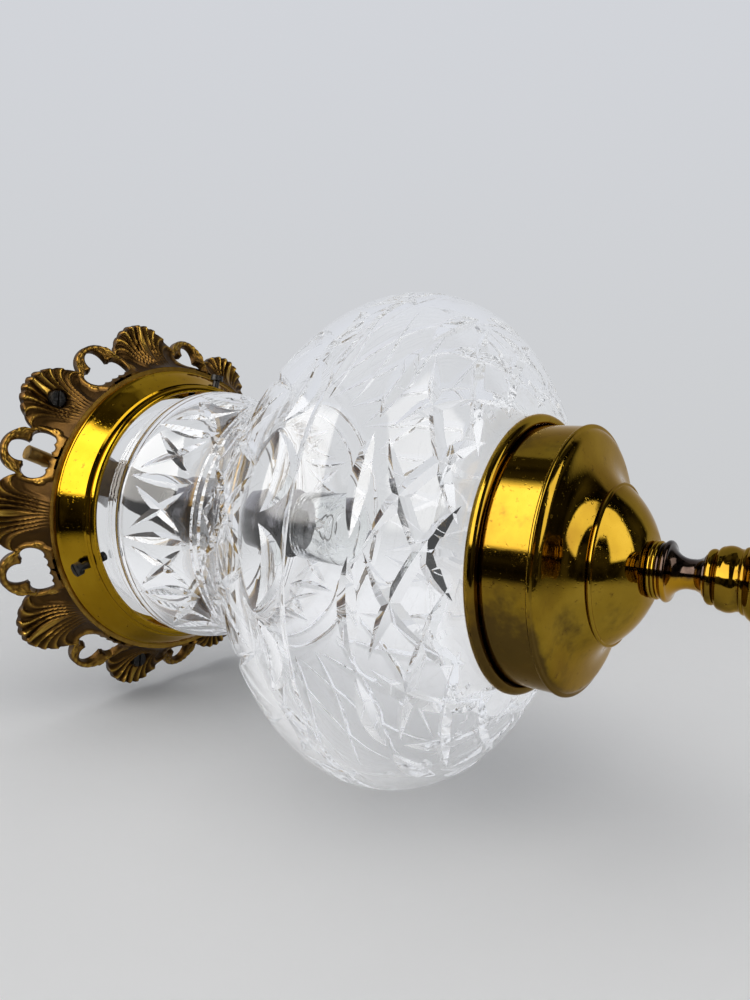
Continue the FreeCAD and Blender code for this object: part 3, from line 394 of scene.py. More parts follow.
def piece(name, bm, finish_name, body, nodes, sharp=35.0):
    """Finished piece in its place, which rides on a body and stands for its nodes."""
    mesh = bpy.data.meshes.new(name)
    bm.to_mesh(mesh)
    bm.free()
    mesh.shade_smooth()
    mesh.set_sharp_from_angle(angle=math.radians(sharp))
    made = bpy.data.objects.new(name, mesh)
    bpy.context.scene.collection.objects.link(made)
    mesh.materials.append(FINISHES[finish_name])
    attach(made, body)
    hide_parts(*nodes)
    return made


# Pieces that keep their solid's shape: joined, with softened edges
SLOTS = {row["node"]: row["material_slot"] for row in frame["record"]["subparts"]}
BODIES = {node: body for body, nodes in frame["record"]["behaviour"]["bodies"].items() for node in nodes}
SOFT_EDGE = 0.15


def softened(node):
    bm = bmesh.new()
    bm.from_mesh(frame["nodes"][node].data)
    bmesh.ops.remove_doubles(bm, verts=bm.verts, dist=2e-6)
    bmesh.ops.dissolve_limit(bm, angle_limit=math.radians(1.0), verts=bm.verts, edges=bm.edges)
    made = piece(node + "_finished", bm, SLOTS[node], BODIES[node], [node])
    edge = made.modifiers.new("soft edges", "BEVEL")
    edge.width = SOFT_EDGE * MM
    edge.segments = 2
    edge.limit_method = "ANGLE"
    edge.angle_limit = math.radians(50)


# Leaf gallery
LEAF_COUNT = 9
FIRST_LEAF = -1.6
PITCH = 360 / LEAF_COUNT
LEAF_TIP, LEAF_ROOT = 83.0, 63.8
LEAF_ROUNDING = 0.069
LEAF_HALF = 12.6
SWEEP = 18.7
SWEEP_CENTRE = (LEAF_ROOT + SWEEP, -21.5)
LEAF_THICKNESS = 2.6
ARCH_TOP = 79.2
LOBES = 9
NOTCH = 0.9
SCREW_PLACE = 71.3
SCREW_SEAT_RADIUS, SCREW_SEAT_LEVEL = 3.9, -6.6
LEAF_START = 0.1
SHORTEST_FAN = 0.1
SCREW_SEAT_TONE, FOOT_TONE = 0.1, 0.6

# Round holes (size, radius, angle) that make up the trefoil opening between two leaves
OPENING = [(4.3, 72.6, 0.0), (3.9, 68.6, 0.0), (3.3, 68.0, -3.0), (3.3, 68.0, 3.0),
           (3.1, 68.1, -5.6), (3.1, 68.1, 5.6)]
OPENING_REACH = 1.0

# Beads (radius, angle, size, height) that make up the scroll between a leaf and an opening
BEADS = [(74.4, 14.2, 2.1, 2.2), (71.0, 12.9, 1.7, 1.8), (66.0, 11.0, 1.4, 1.2)]


def leaf_reach(turn):
    """Radius of a leaf's plain fan edge at an angle from its middle."""
    return LEAF_TIP - LEAF_ROUNDING * turn ** 2


def edge_radius(turn):
    """Radius of the gallery's edge at an angle from the nearest leaf's middle."""
    turn = abs(turn)
    if turn <= LEAF_HALF:
        lobe = 2 * LEAF_HALF / LOBES
        share = (turn + LEAF_HALF) / lobe % 1.0
        notch = NOTCH + 0.45 * math.sin(2.3 * turn)
        return leaf_reach(turn) - notch * (1 - math.sin(math.pi * share) ** 0.6)
    rise = (turn - LEAF_HALF) / (PITCH / 2 - LEAF_HALF)
    low = leaf_reach(LEAF_HALF) - NOTCH
    return low + (ARCH_TOP - low) * math.sqrt(1 - (1 - rise) ** 2)


def along_sweep(radius):
    """Distance up the curved face to a radius."""
    if radius >= SWEEP_CENTRE[0]:
        return SWEEP * math.pi / 2 + radius - SWEEP_CENTRE[0]
    return SWEEP * math.acos((SWEEP_CENTRE[0] - radius) / SWEEP)


def sweep_point(reach):
    """Radius, level and outward slope of the face at a distance up it."""
    bend = min(reach / SWEEP, math.pi / 2)
    past = max(0.0, reach - SWEEP * math.pi / 2)
    radius = SWEEP_CENTRE[0] - SWEEP * math.cos(bend) + past
    return radius, SWEEP_CENTRE[1] + SWEEP * math.sin(bend), bend


def opening_gap(turn, radius):
    """Distance to the trefoil opening's edge, then its nearest hole: way from the middle, middle and size."""
    away = math.radians(PITCH / 2 - abs(turn))
    x, y = radius * math.sin(away), radius * math.cos(away)
    best = None
    for size, place, side in OPENING:
        cx, cy = place * math.sin(math.radians(side)), place * math.cos(math.radians(side))
        gap = math.hypot(x - cx, y - cy) - size
        if best is None or gap < best[0]:
            best = (gap, (x - cx, y - cy), (cx, cy), size)
    return best


def rounded(place):
    """Height of a round top, 1 high, at a place between its sides at -1 and 1."""
    return math.sqrt(max(0.0, 1 - place ** 2))


def ribs(turn, reach):
    """Height and rubbing of the ribs that fan out from a leaf's foot, bold in its middle."""
    plain = leaf_reach(turn)
    fan = max(along_sweep(plain), SHORTEST_FAN) if plain > LEAF_ROOT else SHORTEST_FAN
    share = min(reach / fan, 1.2)
    side = abs(turn) / LEAF_HALF
    rise = min(1.0, reach / 8.0) ** 1.5
    line = side / (0.36 + 0.64 * share ** 1.9)
    line += 0.055 * math.sin(7.5 * share + 3.0 * line)
    rib = line * LOBES / 2
    step = (rib + 0.5) % 1.0
    crest = 1.0 - 2.0 * rib ** 2 if rib < 0.5 else min(step / 0.78, (1 - step) / 0.22) ** 1.2
    leafy = max(0.0, min(1.0, (1.22 - line) / 0.2)) * max(0.0, min(1.0, (1.07 - share) / 0.1))
    bold = 0.75 + 0.25 * math.sin(2.6 * line + 0.6)
    spine = 1.1 * math.cos(min(side, 1.0) * math.pi / 2)
    height = leafy * rise * ((0.5 + 1.3 * min(share, 1.0)) * crest * bold + spine)
    rubbed = leafy * crest ** 1.6 * bold * (0.25 + 0.75 * min(share, 1.0))
    return height, max(rubbed, FOOT_TONE * (1 - reach / 3.0))


def rope(turn, reach):
    """Height and rubbing of the twisted rope along the arch between two leaves."""
    if abs(turn) <= LEAF_HALF - 0.5:
        return 0.0, 0.0
    place = (along_sweep(edge_radius(turn)) - reach - 1.25) / 1.35
    top = rounded(place) * (0.85 + 0.15 * math.sin(abs(turn) * 3.4 + place))
    return 1.7 * top, 0.7 * top


def opening_lip(turn, radius):
    """Height and rubbing of the round lip along the trefoil opening."""
    top = rounded(opening_gap(turn, radius)[0] - 0.9)
    return 0.9 * top, 0.5 * top


def bead(turn, radius, middle, angle, size, height):
    """Height and rubbing of one bead of the scroll."""
    across = math.radians(abs(turn) - angle) * radius
    away = math.hypot(across, radius - middle) / size
    top = rounded(away) * (0.8 + 0.2 * math.cos(away * 9))
    return height * top, 0.85 * top


def relief(turn, radius, reach):
    """Height of the carving above the plain face in mm, and how rubbed it is from 0 to 1."""
    forms = [ribs(turn, reach), rope(turn, reach), opening_lip(turn, radius)]
    forms += [bead(turn, radius, *place) for place in BEADS]
    return max(height for height, rubbed in forms), max(rubbed for height, rubbed in forms)


def to_opening(turn, reach):
    """Place on the opening's outline that is nearest to a place beside it."""
    radius = sweep_point(reach)[0]
    gap, away, centre, size = opening_gap(turn, radius)
    if gap > OPENING_REACH:
        return turn, reach
    if PITCH / 2 - abs(turn) < 0.01:
        middle = centre[1]
        radius = middle + math.copysign(size, radius - middle)
    else:
        length = math.hypot(*away)
        x = centre[0] + away[0] * size / length
        y = centre[1] + away[1] * size / length
        turn = math.copysign(PITCH / 2 - math.degrees(math.atan2(x, y)), turn)
        radius = math.hypot(x, y)
    return turn, along_sweep(max(radius, LEAF_ROOT + LEAF_START))


def leaf(screwed):
    """One leaf with half an opening and half an arch on each side, and a flat seat where a screw holds it."""
    bm = bmesh.new()
    bmesh.ops.create_grid(bm, x_segments=108, y_segments=44, size=0.5)
    tone = bm.verts.layers.float.new("relief")
    start = along_sweep(LEAF_ROOT + LEAF_START)
    for vert in bm.verts:
        turn = (vert.co.x * 0.75 + vert.co.x ** 3) * PITCH
        reach = start + (vert.co.y + 0.5) * (along_sweep(edge_radius(turn)) - start)
        vert.co = (turn, reach, 1.0)
    centres = {face: face.calc_center_median() for face in bm.faces}
    holes = [face for face, at in centres.items() if opening_gap(at.x, sweep_point(at.y)[0])[0] < 0]
    bmesh.ops.delete(bm, geom=holes, context="FACES")
    for vert in bm.verts:
        turn, reach = vert.co.x, vert.co.y
        if vert.is_boundary and along_sweep(edge_radius(turn)) - reach > 0.5:
            vert.co = (*to_opening(turn, reach), 1.0)
    backs = bmesh.ops.extrude_face_region(bm, geom=bm.faces[:])["geom"]
    for item in backs:
        if isinstance(item, bmesh.types.BMVert):
            item.co.z = 0.0
    between = [face for face in bm.faces if all(abs(vert.co.x) > PITCH / 2 - 0.001 for vert in face.verts)]
    bmesh.ops.delete(bm, geom=between, context="FACES")
    for vert in bm.verts:
        turn, reach, front = vert.co
        radius, level, bend = sweep_point(reach)
        height, vert[tone] = relief(turn, radius, reach) if front else (-LEAF_THICKNESS, 0.0)
        radius, level = radius + height * math.cos(bend), level - height * math.sin(bend)
        across = math.radians(turn) * radius
        if screwed and front and math.hypot(across, radius - SCREW_PLACE) < SCREW_SEAT_RADIUS:
            level = max(level, SCREW_SEAT_LEVEL)
            vert[tone] = SCREW_SEAT_TONE
        vert.co = spot(radius, turn, level)
    return bm


def leaf_gallery():
    whole = bmesh.new()
    whole.verts.layers.float.new("relief")
    for number in range(LEAF_COUNT):
        one = leaf(number % 3 == 1)
        bmesh.ops.rotate(one, verts=one.verts, cent=(0, 0, 0),
                         matrix=Matrix.Rotation(math.radians(FIRST_LEAF + number * PITCH), 3, "Z"))
        add_mesh(whole, one)
    bmesh.ops.remove_doubles(whole, verts=whole.verts, dist=5e-5)
    bmesh.ops.recalc_face_normals(whole, faces=whole.faces)
    foot = turned([(FLANGE_BORE, FOOT_LEVEL), (63.9, FOOT_LEVEL),
                   (63.4, STRAP_LEVEL), (FLANGE_BORE, STRAP_LEVEL)], 144)
    tone = foot.verts.layers.float.new("relief")
    for vert in foot.verts:
        vert[tone] = FOOT_TONE
    add_mesh(whole, foot)
    piece("cast_leaves", whole, "antique_brass", "gallery", ["leaf_gallery"], 60.0)


# Spun collar
def collar():
    def on_band(share, out=0.0, up=0.0):
        """Point a little beside the sloping band, at a share of its way to the lip."""
        return (COLLAR_BACK + (COLLAR_LIP - COLLAR_BACK) * share + out,
                FLANGE_LEVEL + (LIP_LEVEL - FLANGE_LEVEL) * share + up)

    points = outline(
        (FLANGE_BORE, FOOT_LEVEL), (COLLAR_BACK, FOOT_LEVEL),
        ((COLLAR_BACK + 0.35, FOOT_LEVEL - 0.8), (COLLAR_BACK, FLANGE_LEVEL)),
        (COLLAR_BACK - 0.4, FLANGE_LEVEL - 0.35),
        on_band(0.10), on_band(0.4), on_band(0.70),
        on_band(0.76, 0.1), on_band(0.80, -0.45, 0.1), on_band(0.84, 0.15), on_band(0.89, -0.25),
        ((COLLAR_LIP + 0.55, LIP_LEVEL - 0.2), (COLLAR_LIP - 0.8, LIP_LEVEL - 1.1)),
        ((COLLAR_LIP - 1.75, LIP_LEVEL - 0.5), (COLLAR_LIP - 1.6, LIP_LEVEL + 0.6)),
        (COLLAR_BACK - 3.2, FLANGE_LEVEL), (FLANGE_BORE, FLANGE_LEVEL))
    piece("spun_collar", turned(points, 192), "polished_brass", "gallery", ["collar_band"], 40.0)


# Cap and finial
def cap():
    def on_dome(radius, dome=DOME_RADIUS):
        return radius, DOME_CENTRE - math.sqrt(dome ** 2 - radius ** 2)

    rim = outline(
        (40.6, RIM_LEVEL - 1.0), (41.2, RIM_LEVEL - 0.45), (42.3, RIM_LEVEL),
        ((44.8, RIM_LEVEL - 1.85), (42.8, RIM_LEVEL - 3.7)),
        ((42.0, RIM_LEVEL - 3.5), (41.75, RIM_LEVEL - 2.8)), (41.5, RIM_LEVEL - 2.0))
    piece("rolled_rim", turned(rim, 192), "polished_brass", "cap", ["cap_rim"])
    shoulder = smooth_line([(40.5, CAP_EDGE - 0.15), (39.6, CAP_EDGE - 1.05), (37.6, CAP_EDGE - 1.85),
                            (34.6, CAP_EDGE - 2.5), (31.0, CAP_EDGE - 3.5), (27.8, CAP_EDGE - 5.1),
                            (25.3, CAP_EDGE - 7.1), (23.8, CAP_EDGE - 8.7)], 40)
    seat = on_dome(10.5)[1]
    points = outline(
        (41.4, RIM_LEVEL - 1.9), (41.25, RIM_LEVEL - 4.4), (41.3, CAP_EDGE + 1.3),
        ((41.8, CAP_EDGE + 0.5), (41.1, CAP_EDGE + 0.05)), *shoulder,
        (23.4, CAP_EDGE - 8.85), (23.75, CAP_EDGE - 9.0),
        ((24.8, CAP_EDGE - 9.5), (23.9, CAP_EDGE - 10.1)), on_dome(23.3),
        (on_dome(17.5), on_dome(10.5)),
        (SPINDLE_BORE, seat), (SPINDLE_BORE, seat + 1.0), (10.3, seat + 1.0),
        (on_dome(16.8, DOME_RADIUS - 1.0), (23.0, CAP_EDGE - 8.6)),
        ((28.3, CAP_EDGE - 3.7), (34.2, CAP_EDGE - 1.4)), (40.0, CAP_EDGE + 0.8), (40.3, CAP_EDGE + 2.0),
        (40.4, RIM_LEVEL - 1.9))
    piece("spun_cap", turned(points, 192), "polished_brass", "cap", ["cap_dome"], 30.0)


def finial():
    top = REEL_TOP
    double_bead = outline(
        (SPINDLE_BORE, top), (8.1, top), ((8.6, top + 0.57), (8.0, top + 1.15)),
        ((8.6, top + 1.73), (8.1, WASHER_TOP)), (SPINDLE_BORE, WASHER_TOP))
    piece("double_bead", turned(double_bead, 96), "polished_brass", "finial", ["finial_washer"])
    low = BARREL_TOP
    reel = outline(
        (0, low), (6.2, low), (6.25, low + 0.6), ((4.95, low + 1.9), (4.4, low + 4.0)),
        ((5.4, low + 7.9), (7.8, low + 9.75)), (8.1, low + 9.8),
        ((9.05, low + 10.75), (8.1, low + 11.7)), (7.8, low + 11.85),
        ((8.2, low + 12.3), (7.9, top)), (0, top))
    piece("dark_reel", turned(reel, 96), "dark_bronze", "finial", ["finial_reel"], 45.0)
    top = BARREL_TOP
    barrel = outline(
        (0, top), (7.3, top), ((7.95, top - 1.2), (7.2, top - 2.4)),
        ((8.5, top - 2.9), (9.0, top - 4.0)), ((9.3, top - 5.3), (8.9, top - 7.4)),
        ((8.65, top - 8.2), (8.8, top - 9.0)), ((9.3, top - 9.5), (9.3, top - 10.2)),
        ((11.4, top - 13.9), (8.8, top - 18.4)), ((6.6, top - 20.2), (5.4, top - 20.9)),
        (5.4, top - 21.5), (0, top - 21.5))
    piece("ringed_barrel", turned(barrel, 96), "polished_brass", "finial", ["finial_barrel"], 40.0)
    top = KNOB_TOP
    knob = outline(
        (0, top), (4.7, top), ((5.2, top - 0.5), (4.7, top - 1.0)),
        ((3.6, top - 2.0), (3.3, top - 3.2)), ((5.6, top - 7.7), (0, top - 13.3)))
    piece("end_knob", turned(knob, 64), "polished_brass", "finial", ["finial_knob"], 40.0)


# Cut glass globe
GLASS = [(46.2, -19.0), (48.2, -31.0), (52.9, -46.0), (48.0, -68.0), (52.0, -92.0), (68.3, -120.0),
         (81.8, -141.0), (84.6, -156.0), (76.1, -174.8), (63.9, -183.9), (54.0, -189.7)]
GLASS_WALL = 4.5
GLASS_FOOT = (44.8, -192.6)
FLOOR_OUT, FLOOR_IN = -195.6, -191.1
ROD_HOLE = 3.25
CUTTER_LIFT = 1.5

# Depth of the turned rings, by level
RINGS = {-38.6: 0.7, -41.8: 0.85, -45.0: 0.7, -86.5: 0.8, -94.0: 1.2, -162.5: 0.5}

# Cuts round the neck and the bowl, cuts round the belly, and the angle that each part's cuts start from
PANELS, SCALES = 14, 21
NECK_TURN, BELLY_TURN, BOWL_TURN = 4.8, -2.0, 16.0

SKIN_STEPS = 400
SKIN = smooth_line(GLASS, SKIN_STEPS)
SKIN_MARKS = [0.0]
for one, two in zip(SKIN, SKIN[1:]):
    SKIN_MARKS.append(SKIN_MARKS[-1] + math.dist(one, two))


def mark_at_level(level):
    """Distance along the glass from its neck end to a level."""
    place = min(range(len(SKIN)), key=lambda i: abs(SKIN[i][1] - level))
    return SKIN_MARKS[place]


def skin(mark):
    """Radius, level and outward normal of the glass at a distance along it, also onto its flat foot."""
    past = mark - SKIN_MARKS[-1]
    if past > 0:
        (r1, z1), (r2, z2) = SKIN[-1], GLASS_FOOT
        run = math.dist((r1, z1), (r2, z2))
        return r1 + (r2 - r1) * past / run, z1 + (z2 - z1) * past / run, (z1 - z2) / run, (r2 - r1) / run
    last = SKIN_STEPS - 1
    i = min(max(int(mark / (SKIN_MARKS[-1] / SKIN_STEPS)), 0), last)
    while i > 0 and SKIN_MARKS[i] > mark:
        i -= 1
    while i < last and SKIN_MARKS[i + 1] < mark:
        i += 1
    share = (mark - SKIN_MARKS[i]) / (SKIN_MARKS[i + 1] - SKIN_MARKS[i])
    (r1, z1), (r2, z2) = SKIN[i], SKIN[i + 1]
    before, after = SKIN[max(i - 2, 0)], SKIN[min(i + 3, SKIN_STEPS)]
    run = math.dist(before, after)
    return (r1 + (r2 - r1) * share, z1 + (z2 - z1) * share,
            (before[1] - after[1]) / run, (after[0] - before[0]) / run)


def cut_path(path, width, depth):
    """Wheel-shaped cutter along a path of (mark, angle, share of the depth)."""
    def place(step):
        mark, angle, share = step
        radius, level, nr, nz = skin(mark)
        return spot(radius, angle, level), (spot(nr, angle, nz) / MM).normalized(), share

    stations = [place(step) for step in path]
    sections = []
    for number, (centre, normal, share) in enumerate(stations):
        before, after = stations[max(number - 1, 0)][0], stations[min(number + 1, len(stations) - 1)][0]
        side = (after - before).cross(normal).normalized()
        half = width / 2 * (share * depth + CUTTER_LIFT) / depth * MM
        sections.append((centre - normal * depth * share * MM,
                         centre + normal * CUTTER_LIFT * MM + side * half,
                         centre + normal * CUTTER_LIFT * MM - side * half))
    bm = bmesh.new()
    end = bm.faces.new([bm.verts.new(point) for point in sections[0]])
    for number, (old, new) in enumerate(zip(sections, sections[1:])):
        grown = bmesh.ops.extrude_face_region(bm, geom=[end])["geom"]
        if number and end.is_valid:
            bmesh.ops.delete(bm, geom=[end], context="FACES_ONLY")
        end = next(item for item in grown if isinstance(item, bmesh.types.BMFace))
        for vert in end.verts:
            nearest = min(range(3), key=lambda i: (old[i] - vert.co).length)
            vert.co = new[nearest]
    bmesh.ops.triangulate(bm, faces=bm.faces)
    bmesh.ops.recalc_face_normals(bm, faces=bm.faces)
    return bm


def lens(start, end, count=12, bow=0.0):
    """Path of a cut that deepens from a point at each end to its middle, which may bow along the glass."""
    steps = []
    for number in range(count + 1):
        share = number / count
        middle = 1 - (2 * share - 1) ** 2
        steps.append((start[0] + (end[0] - start[0]) * share + bow * middle,
                      start[1] + (end[1] - start[1]) * share, middle * 1.12 - 0.12))
    return steps


def even(start, end, count):
    """Path of a groove of one depth that only lifts out at its ends."""
    steps = []
    for number in range(count + 1):
        share = number / count
        deep = min(1.0, 5 * min(share, 1 - share) - 0.1)
        steps.append((start[0] + (end[0] - start[0]) * share, start[1] + (end[1] - start[1]) * share, deep))
    return steps


def crossing(cut, middle, start, end, count, *wheel):
    """Two cuts that mirror each other about an angle, each from one (mark, angle) to another."""
    return [(cut((start[0], middle + side * start[1]), (end[0], middle + side * end[1]), count), *wheel)
            for side in (1, -1)]


def wheel_cuts():
    """Groups of cutters that don't cross within a group: (path, repeats, width, depth)."""
    at = mark_at_level
    panel, scale = 360 / PANELS, 360 / SCALES
    upright = NECK_TURN + panel / 2
    belly_top = at(-94.0) + 2.0
    foot = SKIN_MARKS[-1] + 7.5
    return [
        *crossing(lens, NECK_TURN, (at(-53.5), -9.6), (at(-78.5), 9.6), 12, PANELS, 3.8, 1.25),
        (lens((at(-50.0), upright), (at(-84.0), upright)), PANELS, 5.2, 1.7),
        *crossing(lens, BELLY_TURN, (belly_top, -scale * 0.5), (at(-150.0), scale), 18, SCALES, 5.4, 1.6),
        (lens((at(-153.0), BELLY_TURN - scale * 0.47), (at(-153.0), BELLY_TURN + scale * 0.47), bow=6.5),
         SCALES, 8.0, 1.5),
        (lens((at(-176.4), BOWL_TURN - panel * 0.46), (at(-176.4), BOWL_TURN + panel * 0.46)),
         PANELS, 5.6, 1.6),
        *crossing(even, BOWL_TURN, (at(-178.6), -panel * 0.5), (foot, panel * 1.16), 22, PANELS, 4.8, 1.4),
    ]


def glass_blank():
    """Globe before cutting: the blown shape with its turned rings."""
    outer_steps, inner_steps = 90, 60
    rings = {mark_at_level(level): depth for level, depth in RINGS.items()}
    marks = [SKIN_MARKS[-1] * step / outer_steps for step in range(outer_steps + 1)]
    for ring, depth in rings.items():
        marks = [mark for mark in marks if abs(mark - ring) > 1.6 * depth]
        marks += [ring - 1.5 * depth, ring, ring + 1.5 * depth]
    outer = []
    for mark in sorted(marks):
        radius, level, nr, nz = skin(mark)
        depth = rings.get(mark, 0.0)
        outer.append((radius - nr * depth, level - nz * depth))
    inner = []
    for step in range(inner_steps, -1, -1):
        radius, level, nr, nz = skin(SKIN_MARKS[-1] * step / inner_steps)
        inner.append((radius - nr * GLASS_WALL, level - nz * GLASS_WALL))
    floor = [GLASS_FOOT, (10.0, FLOOR_OUT), (ROD_HOLE, FLOOR_OUT), (ROD_HOLE, FLOOR_IN), (10.0, FLOOR_IN)]
    return turned(outer + floor + inner, 168)


def ring_of_cutters(path, repeats, width, depth):
    """Object that holds one cutter, repeated all round the globe."""
    one = cut_path(path, width, depth)
    group = bmesh.new()
    mesh = bpy.data.meshes.new("cutter")
    for number in range(repeats):
        one.to_mesh(mesh)
        group.from_mesh(mesh)
        bmesh.ops.rotate(one, verts=one.verts, cent=(0, 0, 0),
                         matrix=Matrix.Rotation(2 * math.pi / repeats, 3, "Z"))
    one.free()
    group.to_mesh(mesh)
    group.free()
    made = bpy.data.objects.new("cutter", mesh)
    bpy.context.scene.collection.objects.link(made)
    return made


def globe():
    blank = piece("cut_globe", glass_blank(), "cut_glass", "globe", ["cut_glass_globe"], 20.0)
    for number, group in enumerate(wheel_cuts()):
        wheel = ring_of_cutters(*group)
        cut = blank.modifiers.new("cut", "BOOLEAN")
        cut.operation = "DIFFERENCE"
        cut.solver = "MANIFOLD"
        cut.object = wheel
        bpy.context.view_layer.update()
        graph = bpy.context.evaluated_depsgraph_get()
        made = bpy.data.meshes.new_from_object(blank.evaluated_get(graph))
        blank.modifiers.remove(cut)
        old, cutter = blank.data, wheel.data
        if len(made.vertices) < len(old.vertices) / 2:
            raise RuntimeError("cut %d failed" % number)
        blank.data = made
        bpy.data.objects.remove(wheel)
        bpy.data.meshes.remove(cutter)
        bpy.data.meshes.remove(old)
    blank.data.name = "cut_globe"
    blank.visible_shadow = False
    blank.data.shade_smooth()
    blank.data.set_sharp_from_angle(angle=math.radians(14))
    blank.data.materials.clear()
    blank.data.materials.append(FINISHES["cut_glass"])


# Camera, table and light, for the lantern lying on its side
LANTERN_MIDDLE = Vector((0, 0, -0.14))
TABLE_UP = Vector((0.9946, -0.1034, 0.0))
TABLE_DROP = 0.0852
TABLE_RADIUS = 1.2
CAMERA_PLACE = Vector((25.1, -224.3, -294.3))
CAMERA_AHEAD = Vector((-0.0455, 0.8049, 0.5918)).normalized()
CAMERA_RIGHT = CAMERA_AHEAD.cross(Vector((0.9970, 0.0, 0.0767))).normalized()
SENSOR = 36.0
FOCAL_SHARE = 0.751


def camera():
    up = CAMERA_RIGHT.cross(CAMERA_AHEAD)
    data = bpy.data.cameras.new("camera")
    data.sensor_width = SENSOR
    data.lens = SENSOR * FOCAL_SHARE
    data.clip_start = 0.01
    made = bpy.data.objects.new("camera", data)
    bpy.context.scene.collection.objects.link(made)
    turn = Matrix((CAMERA_RIGHT, up, -CAMERA_AHEAD)).transposed().to_4x4()
    made.matrix_world = Matrix.Translation(CAMERA_PLACE * MM) @ turn
    bpy.context.scene.camera = made


def cloth(place):
    return {"Base Color": place.noise(6.0, 3.0).blend((0.84, 0.84, 0.835), (0.88, 0.88, 0.875)),
            "Normal": bumped(place.noise(14.0, 4.0), 0.2, 0.01)}


def table():
    """Pale cloth that the lantern lies on, seen from its upper side only and fading at its edge."""
    bm = bmesh.new()
    bmesh.ops.create_circle(bm, cap_ends=True, segments=96, radius=TABLE_RADIUS)
    turn = TABLE_UP.to_track_quat("Z", "Y").to_matrix().to_4x4()
    middle = LANTERN_MIDDLE - TABLE_UP * TABLE_DROP
    bmesh.ops.transform(bm, matrix=Matrix.Translation(middle) @ turn, verts=bm.verts)
    mesh = bpy.data.meshes.new("table")
    bm.to_mesh(mesh)
    bm.free()
    made = bpy.data.objects.new("table", mesh)
    bpy.context.scene.collection.objects.link(made)
    material = finish("cloth", {"Roughness": 0.9, "Specular IOR Level": 0.2}, cloth)
    mesh.materials.append(material)
    tree = material.node_tree
    place = object_place(tree)
    away = place.node("VectorMath", out=1, inputs={0: place, 1: tuple(middle)}, operation="DISTANCE")
    offset = place.node("VectorMath", inputs={0: place, 1: tuple(middle)}, operation="SUBTRACT")
    fade = away.limit(0.27, 0.52).math("MAXIMUM", offset.along(-CAMERA_AHEAD).limit(0.31, 0.34))
    behind = place.node("NewGeometry", out=6)
    clear = tree.nodes.new("ShaderNodeBsdfTransparent")
    mix = tree.nodes.new("ShaderNodeMixShader")
    tree.links.new(fade.math("MAXIMUM", behind).socket, mix.inputs[0])
    tree.links.new(tree.nodes["Principled BSDF"].outputs[0], mix.inputs[1])
    tree.links.new(clear.outputs[0], mix.inputs[2])
    tree.links.new(mix.outputs[0], tree.nodes["Material Output"].inputs["Surface"])


def window(name, direction, distance, width, height, power):
    """Large soft light in a direction from the lantern's middle, upright to the table."""
    data = bpy.data.lights.new(name, "AREA")
    data.shape = "RECTANGLE"
    data.size, data.size_y = width, height
    data.energy = power
    data.color = (1.0, 0.98, 0.94)
    made = bpy.data.objects.new(name, data)
    bpy.context.scene.collection.objects.link(made)
    way = Vector(direction).normalized()
    up = TABLE_UP - way * TABLE_UP.dot(way)
    side = up.cross(way).normalized()
    turn = Matrix((side, way.cross(side), way)).transposed().to_4x4()
    made.matrix_world = Matrix.Translation(LANTERN_MIDDLE + way * distance) @ turn
    made.visible_camera = False
    made.visible_transmission = False
    made.visible_glossy = False


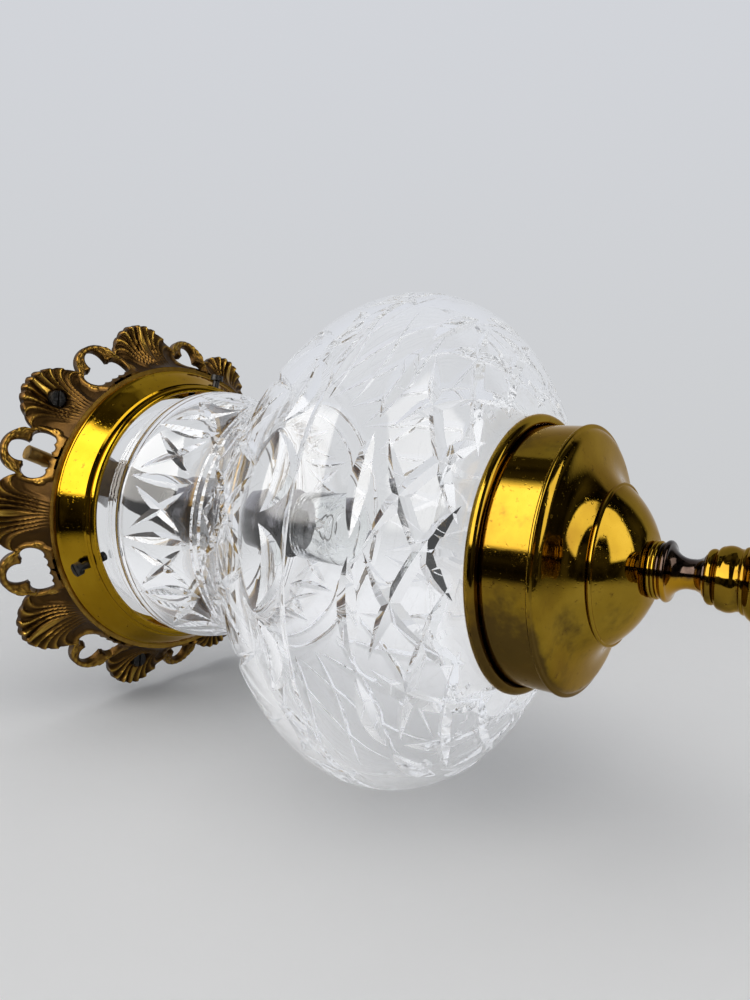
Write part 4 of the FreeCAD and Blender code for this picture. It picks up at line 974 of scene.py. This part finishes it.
def room():
    """Pale surroundings, in which metal reflects a dark room behind the camera with two bright windows."""
    world = bpy.data.worlds.new("room")
    bpy.context.scene.world = world
    world.use_nodes = True
    tree = world.node_tree
    light = tree.nodes["Background"]
    way = Signal(tree, tree.nodes.new("ShaderNodeTexCoord").outputs["Generated"])
    up, right = way.along(TABLE_UP), way.along(CAMERA_RIGHT)
    around = right.math("ARCTAN2", way.along(CAMERA_AHEAD) * -1.0)

    def opening(around_from, around_to, up_from, up_to):
        """1 in the directions between two angles and two heights, with soft edges."""
        inside = 1.0
        for value, low, high in ((around, around_from, around_to), (up, up_from, up_to)):
            inside = value.limit(low - 0.03, low + 0.03) * value.limit(high + 0.03, high - 0.03) * inside
        return inside

    pale = up.limit(-0.4, 0.9).blend((0.60, 0.61, 0.62), (0.66, 0.68, 0.73))
    gloom = way.noise(2.2, 3.0).limit(0.35, 0.75).blend((0.008, 0.007, 0.006), (0.13, 0.12, 0.10))
    shade = around.math("ABSOLUTE").limit(1.96, 1.80).math("MAXIMUM", opening(-2.44, -1.40, 0.80, 0.95))
    wall = pale.scaled(up.limit(1.0, 0.1) * 0.25 + 0.75)
    dark = up.limit(0.95, 0.99).blend(shade.blend(wall, gloom), (0.16, 0.155, 0.15))
    panes = opening(-1.50, -0.20, 0.22, 0.86) * 5.5 + opening(0.77, 1.33, 0.06, 0.70) * 3.2
    glow = way.node("VectorMath", inputs={0: (1.0, 0.97, 0.92), "Scale": panes}, operation="SCALE")
    lit = dark.node("VectorMath", inputs={0: dark, 1: glow}, operation="ADD")
    inside_glass = way.node("LightPath", out="Transmission Depth").limit(0.4, 0.6)
    glossy = way.node("LightPath", out="Is Glossy Ray")
    mirrored = glossy * way.node("LightPath", out="Is Reflection Ray") * (1.0 - inside_glass)
    tree.links.new(mirrored.blend(pale, lit).socket, light.inputs["Color"])
    seen = way.node("LightPath", out="Is Camera Ray").math("MAXIMUM", inside_glass).math("MAXIMUM", glossy)
    tree.links.new((seen * 0.40 + inside_glass * 0.08 + 0.60).socket, light.inputs["Strength"])


camera()
table()
room()
window("window left", (0.93, -0.40, 0.22), 0.9, 1.3, 1.1, 2.2)
window("window right", (0.80, -0.35, -0.55), 1.0, 1.0, 0.9, 3.6)

leaf_gallery()
collar()
cap()
finial()
globe()
MADE_ANEW = {"leaf_gallery", "collar_band", "cap_rim", "cap_dome", "finial_washer", "finial_reel",
             "finial_barrel", "finial_knob", "cut_glass_globe"}
for node in sorted(set(SLOTS) - MADE_ANEW):
    softened(node)

scene = bpy.context.scene
scene.view_settings.view_transform = "Standard"
scene.cycles.max_bounces = 32
scene.cycles.transmission_bounces = 32
scene.cycles.glossy_bounces = 32
scene.cycles.transparent_max_bounces = 16
scene.cycles.caustics_refractive = True
scene.cycles.caustics_reflective = False
